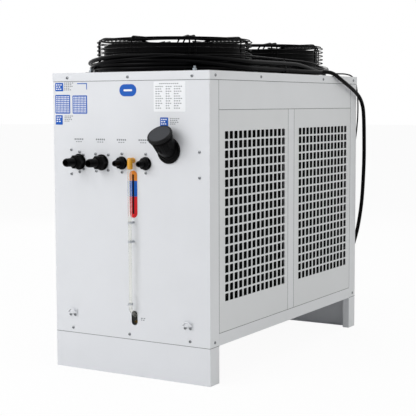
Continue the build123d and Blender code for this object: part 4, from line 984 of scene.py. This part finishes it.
@dataclass
class Cables:
    """The power cable coiled round the guards, the signal cable, their ties and strain reliefs."""

    power: float = 14.5
    signal: float = 5.5
    turns: float = 3.6
    points_a_turn: int = 30
    turn_hold: float = 0.82
    spline_margin: float = 1.006
    end_reach: float = 268
    signal_reach: float = 279

    def __post_init__(self) -> None:
        """Reads the fans' axes from the frame."""
        self.front_fan, self.rear_fan = (
            sum(corner.y for corner in box(f"fan_duct_{place}")) / 2 for place in ("front", "rear"))
        self.straight = self.rear_fan - self.front_fan

    @staticmethod
    def route(points: tuple[Triple, ...]) -> list[Vector]:
        """Turns a route of X, distance behind the lid's front edge and height into the frame's points."""
        return [Vector((x, LID[0].y + y, z)) for x, y, z in points]

    def lap_point(self, lap: float, reach: float, height: float, edge: float = 10.5) -> Vector:
        """Gives a point of a lap round both guards.

        Args:
            lap: How many laps from the right-hand side, going round by the front.
            reach: Distance from the guards' axes, cut down where the lid's edge is nearer.
            height: Height over the lid.
            edge: How far the cord's line stays inside the lid's front and rear edges.

        Returns:
            The point.
        """
        half_lap = self.straight + math.pi * reach
        on_left, along = divmod(lap % 1.0 * 2 * half_lap, half_lap)
        side, start, end = (-1, self.front_fan, self.rear_fan) if on_left else (1, self.rear_fan, self.front_fan)
        level = LID[1].z + height
        if along < self.straight:
            return Vector((side * reach, start - side * along, level))
        angle = (along - self.straight) / reach
        y = end - side * reach * math.sin(angle)
        return Vector((side * reach * math.cos(angle), min(max(y, LID[0].y + edge), LID[1].y - edge), level))

    def endness(self, lap: float) -> float:
        """Tells how near a lap point is to the front or rear end, from 0 on the straights to 1.

        The strands spread out sooner on the front's left half, where they lie lower and wider.
        """
        arc_length = math.pi * self.end_reach
        half_lap = self.straight + arc_length
        on_left, along = divmod(lap % 1.0 * 2 * half_lap, half_lap)
        past = along - self.straight - arc_length / 2
        if abs(past) >= arc_length / 2:
            return 0.0
        nearness = math.sin(math.pi / 2 * (1 - abs(past) / (arc_length / 2)))
        return nearness ** 3 if past > 0 and not on_left else nearness

    def coil(self) -> list[Vector]:
        """Works out the coil's control points, lap by lap, from the free run's end inwards."""
        count = int(self.turns * self.points_a_turn)
        last = len(COIL_TURNS) - 1
        points = []
        for index in range(count + 1):
            lap = self.turns * index / count
            turn = min(int(lap), last)
            # In its last part each turn moves over to where the next one lies.
            blend = max(0.0, (lap - turn - self.turn_hold) / (1 - self.turn_hold))
            blend = blend * blend * (3 - 2 * blend)
            turns = zip(COIL_TURNS[turn], COIL_TURNS[min(turn + 1, last)])
            reach, height, end_reach, end_height = (a + (b - a) * blend for a, b in turns)
            end = self.endness(lap)
            reach += (end_reach - reach) * end
            height += (end_height - height) * end
            # The free end bulges out where the first turn passes the left side's beginning.
            if turn == 0:
                reach += 9.0 * math.exp(-((lap - 0.5) / 0.05) ** 2)
            # The strands wander a little on the straights.
            reach += 1.1 * math.sin(7.3 * lap * 2.1 + 1.0) * (1 - end)
            height += 1.3 * math.sin(5.1 * lap * 2.3 + 0.4) * (1 - end)
            # The smooth curve runs a little inside its control points.
            points.append(self.lap_point(lap, reach * self.spline_margin, height))
        return points

    @staticmethod
    def curve(name: str, points: list[Vector], diameter: float) -> bpy.types.Object:
        """Makes a cord as one smooth open curve through a bevel."""
        data = bpy.data.curves.new(name, "CURVE")
        data.dimensions = "3D"
        spline = data.splines.new("NURBS")
        spline.points.add(len(points) - 1)
        for slot, point in zip(spline.points, points):
            slot.co = (*(point * MM), 1.0)
        spline.order_u = 3
        spline.use_endpoint_u = True
        data.resolution_u = 6
        data.bevel_depth = diameter * MM / 2
        data.bevel_resolution = 4
        data.use_fill_caps = True
        data.materials.append(SHEATH_BLACK.build())
        return linked(name, data)

    @staticmethod
    def length(piece: bpy.types.Object) -> float:
        """Measures the curve's own centre line, in metres."""
        bare = piece.data.copy()
        bare.bevel_depth = 0.0
        holder = bpy.data.objects.new("measure", bare)
        mesh = bpy.data.meshes.new_from_object(holder)
        ends = [[mesh.vertices[index].co for index in edge.vertices] for edge in mesh.edges]
        total = sum((a - b).length for a, b in ends)
        bpy.data.objects.remove(holder)
        bpy.data.meshes.remove(mesh)
        return total

    def build(self) -> None:
        """Builds both cables and what is on them."""
        run = self.route(POWER_ROUTE)
        coil = self.coil()
        power = self.curve("power_cable", run + coil[2:], self.power)
        finish_piece(power, replaced=("power_cable_run", "power_cable_coil"))
        cores = self.cores(coil[-1], (coil[-1] - coil[-2]).normalized())
        ties = self.ties()
        relief = self.relief("power_relief", run[0], 11.0, self.power / 2, 26)
        length = self.length(power)
        LOG.info("power cable %.2f m long", length)

        run = self.route(SIGNAL_ROUTE)
        laid = [self.lap_point(lap, self.signal_reach, height, 0.6) for lap, height in SIGNAL_LAY]
        signal = self.curve("signal_cable", run + laid, self.signal)
        finish_piece(signal, replaced=("signal_cable_run",))
        plug = self.connector(laid[-1], (laid[-1] - laid[-2]).normalized())
        relief = self.relief("signal_relief", run[0], 6.0, self.signal / 2, 20)
        length = self.length(signal)
        LOG.info("signal cable %.2f m long", length)

    @staticmethod
    def relief(name: str, foot: Vector, wide: float, narrow: float, height: float,
               steps: int = 6) -> bpy.types.Object:
        """Builds the tapered strain relief over a gland's mouth."""
        profile = []
        for step in range(steps + 1):
            radius = wide + (narrow + 0.6 - wide) * (step / steps) ** 0.7
            profile += [(radius, step / steps * height), (radius - 0.5, (step + 0.6) / steps * height)]
        kit = MeshKit()
        kit.lathe(profile[:-1], placed(foot, UP), 28)
        return kit.piece(name, RUBBER_BLACK, "black_rubber", 30)

    @staticmethod
    def cores(end: Vector, direction: Vector) -> bpy.types.Object:
        """Builds the four bare cores at the cable's far end, each with a crimped ferrule."""
        kit = MeshKit()
        across = direction.cross(UP).normalized()
        for index, (side, lift) in enumerate(((-1, -1), (1, -1), (1, 1), (-1, 1))):
            start = end - direction * 6 + across * side * 2.8 + UP * lift * 2.8
            knee = start + direction * 22
            tip = knee + direction * (20 + 3 * index) + across * side * 3
            kit.wire(rounded_line([start, knee, tip], 20, 4), 1.7, 10)
            kit.wire([tip, tip + direction * 9], 1.1)
        return kit.piece("cable_cores", CORE_BROWN, "black_rubber", 35)

    @staticmethod
    def connector(end: Vector, direction: Vector) -> bpy.types.Object:
        """Builds the small round connector at the signal cable's far end."""
        kit = MeshKit()
        kit.lathe([(3.2, -4), (4.2, 0), (4.2, 3), (6.2, 4), (6.2, 15), (6.8, 16), (6.8, 24), (5.6, 24.5),
                   (5.6, 30), (4.6, 30), (4.6, 27)], placed(end, direction), 28)
        return kit.piece("signal_connector", NYLON_BLACK, "black_rubber", 30)

    def ties(self) -> bpy.types.Object:
        """Builds the nylon ties that hold the coil's strands together."""
        kit = MeshKit()
        for lap, low, high, inner, outer in TIE_PLACES:
            middle = self.lap_point(lap, (inner + outer) / 2, (low + high) / 2)
            outward = (self.lap_point(lap, outer, low) - self.lap_point(lap, inner, low)).normalized()
            half_width, half_height = (outer - inner) / 2, (high - low) / 2
            along = outward.cross(UP)
            loop = []
            for a, b in arc(0, 0, 1, 0, 360, 32)[:-1]:
                squared = (abs(a) ** 3 + abs(b) ** 3) ** (-1 / 3)
                loop.append(middle + (outward * half_width * a + UP * half_height * b) * squared)
            for shift in (-1.6, 0, 1.6):
                kit.wire([point + along * shift for point in loop], 0.9, 6, closed=True)
            head = middle + UP * half_height
            kit.block(*((head[axis] - drop, head[axis] + rise) for axis, drop, rise in
                        ((0, 3.5, 3.5), (1, 3.5, 3.5), (2, 1.5, 3))))
            kit.wire([head, head + outward * 12 + UP * 7], 1.1, 6)
        return kit.piece("coil_ties", TIE_BLACK, "black_rubber", 35)


# The soft lights, in metres and watts: name, place, height of the point looked at, size, power and colour.
LAMPS = (
    ("key", (-1.6, -3.6, 2.4), 0.6, 2.6, 80, (1.0, 1.0, 1.0)),
    ("side", (3.6, 0.4, 1.9), 0.6, 2.6, 25, (1.0, 0.99, 0.9)),
    ("top", (0.2, -0.4, 3.6), 0.9, 2.4, 30, (1.0, 1.0, 1.0)),
    ("back", (-2.6, 3.2, 2.2), 0.6, 2.6, 40, (1.0, 1.0, 1.0)),
)


@dataclass
class Studio:
    """The camera at the photograph's place, the lights, the floor and the white background."""

    lens: float = 96.68
    sensor: float = 36.0
    azimuth: float = math.radians(30.7147)
    elevation: float = math.radians(5.31446)
    roll: float = math.radians(-0.187)
    eye: Triple = (2025.0, -2915.5, 871.74)
    world_light: float = 0.42
    floor_glow: float = 0.94
    floor_reach: float = 40000

    def build(self) -> None:
        """Builds the whole studio."""
        self.camera()
        for lamp in LAMPS:
            self.lamp(*lamp)
        self.background()
        self.floor()

    def camera(self) -> None:
        """Builds the camera at the photograph's viewpoint, measured from the lid's front edge."""
        data = bpy.data.cameras.new("photo_camera")
        data.lens = self.lens
        data.sensor_width = self.sensor
        data.clip_end = 50
        level = math.cos(self.elevation)
        view = Vector((-math.sin(self.azimuth) * level, math.cos(self.azimuth) * level, -math.sin(self.elevation)))
        right = view.cross(UP).normalized()
        up = right.cross(view)
        sine, cosine = math.sin(self.roll), math.cos(self.roll)
        turn = Matrix((right * cosine + up * sine, up * cosine - right * sine, -view)).transposed().to_4x4()
        camera = linked("photo_camera", data)
        camera.matrix_world = Matrix.Translation(Cables.route((self.eye,))[0] * MM) @ turn
        bpy.context.scene.camera = camera

    @staticmethod
    def lamp(name: str, place: Triple, height: float, size: float, watts: float, colour: Triple) -> None:
        """Builds one square soft light that looks at a point of the object's axis."""
        data = bpy.data.lights.new(name, "AREA")
        data.shape = "SQUARE"
        data.size = size
        data.energy = watts
        data.color = colour
        lamp = linked(name, data)
        lamp.location = place
        lamp.rotation_euler = (UP * height - Vector(place)).to_track_quat("-Z", "Y").to_euler()

    def background(self) -> None:
        """Makes the world white to the camera and to gloss, and a plain grey light otherwise."""
        world = bpy.data.worlds.new("studio")
        bpy.context.scene.world = world
        world.use_nodes = True
        tree = world.node_tree
        tree.nodes.clear()
        rays = add_node(tree, "ShaderNodeLightPath").outputs
        seen = rays["Is Camera Ray"]
        for ray in ("Is Transmission Ray", "Is Glossy Ray"):
            seen = add_node(tree, "ShaderNodeMath", {"operation": "MAXIMUM"}, {0: seen, 1: rays[ray]}).outputs[0]
        plain, white = (
            add_node(tree, "ShaderNodeBackground", {"Color": WHITE, "Strength": strength}).outputs[0]
            for strength in (self.world_light, 1.0))
        mix = add_node(tree, "ShaderNodeMixShader", links={0: seen, 1: plain, 2: white})
        add_node(tree, "ShaderNodeOutputWorld", links={"Surface": mix.outputs[0]})

    def floor(self) -> None:
        """Builds the pale floor, which glows just enough to the camera to merge with the background."""
        kit = MeshKit()
        reach = (-self.floor_reach, self.floor_reach)
        kit.block(reach, reach, (-20, 0))
        floor = kit.mesh("studio_floor", FLOOR, None)
        tree = floor.data.materials[0].node_tree
        path = add_node(tree, "ShaderNodeLightPath")
        share = add_node(tree, "ShaderNodeMath", {"operation": "MULTIPLY"}, {0: path.outputs["Is Camera Ray"]})
        share.inputs[1].default_value = self.floor_glow
        glow = add_node(tree, "ShaderNodeEmission", {"Color": WHITE, "Strength": 1.0})
        mix = add_node(tree, "ShaderNodeMixShader", links={
            0: share.outputs[0], 1: tree.nodes["Principled BSDF"].outputs[0], 2: glow.outputs[0]})
        tree.links.new(mix.outputs[0], tree.nodes["Material Output"].inputs["Surface"])


def main() -> None:
    """Builds the chiller's looks in order, then the studio."""
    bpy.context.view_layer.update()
    for finish, *nodes in DRESSED:
        dress(finish, *nodes)
    Cabinet().build()
    for place in ("front", "rear"):
        Fan(place).build()
    FrontFittings().build()
    display_window()
    Cables().build()
    Studio().build()
    bpy.context.scene.view_settings.view_transform = "Standard"
    bpy.context.view_layer.update()
    LOG.info("sizes written")


if __name__ == "__main__":
    main()
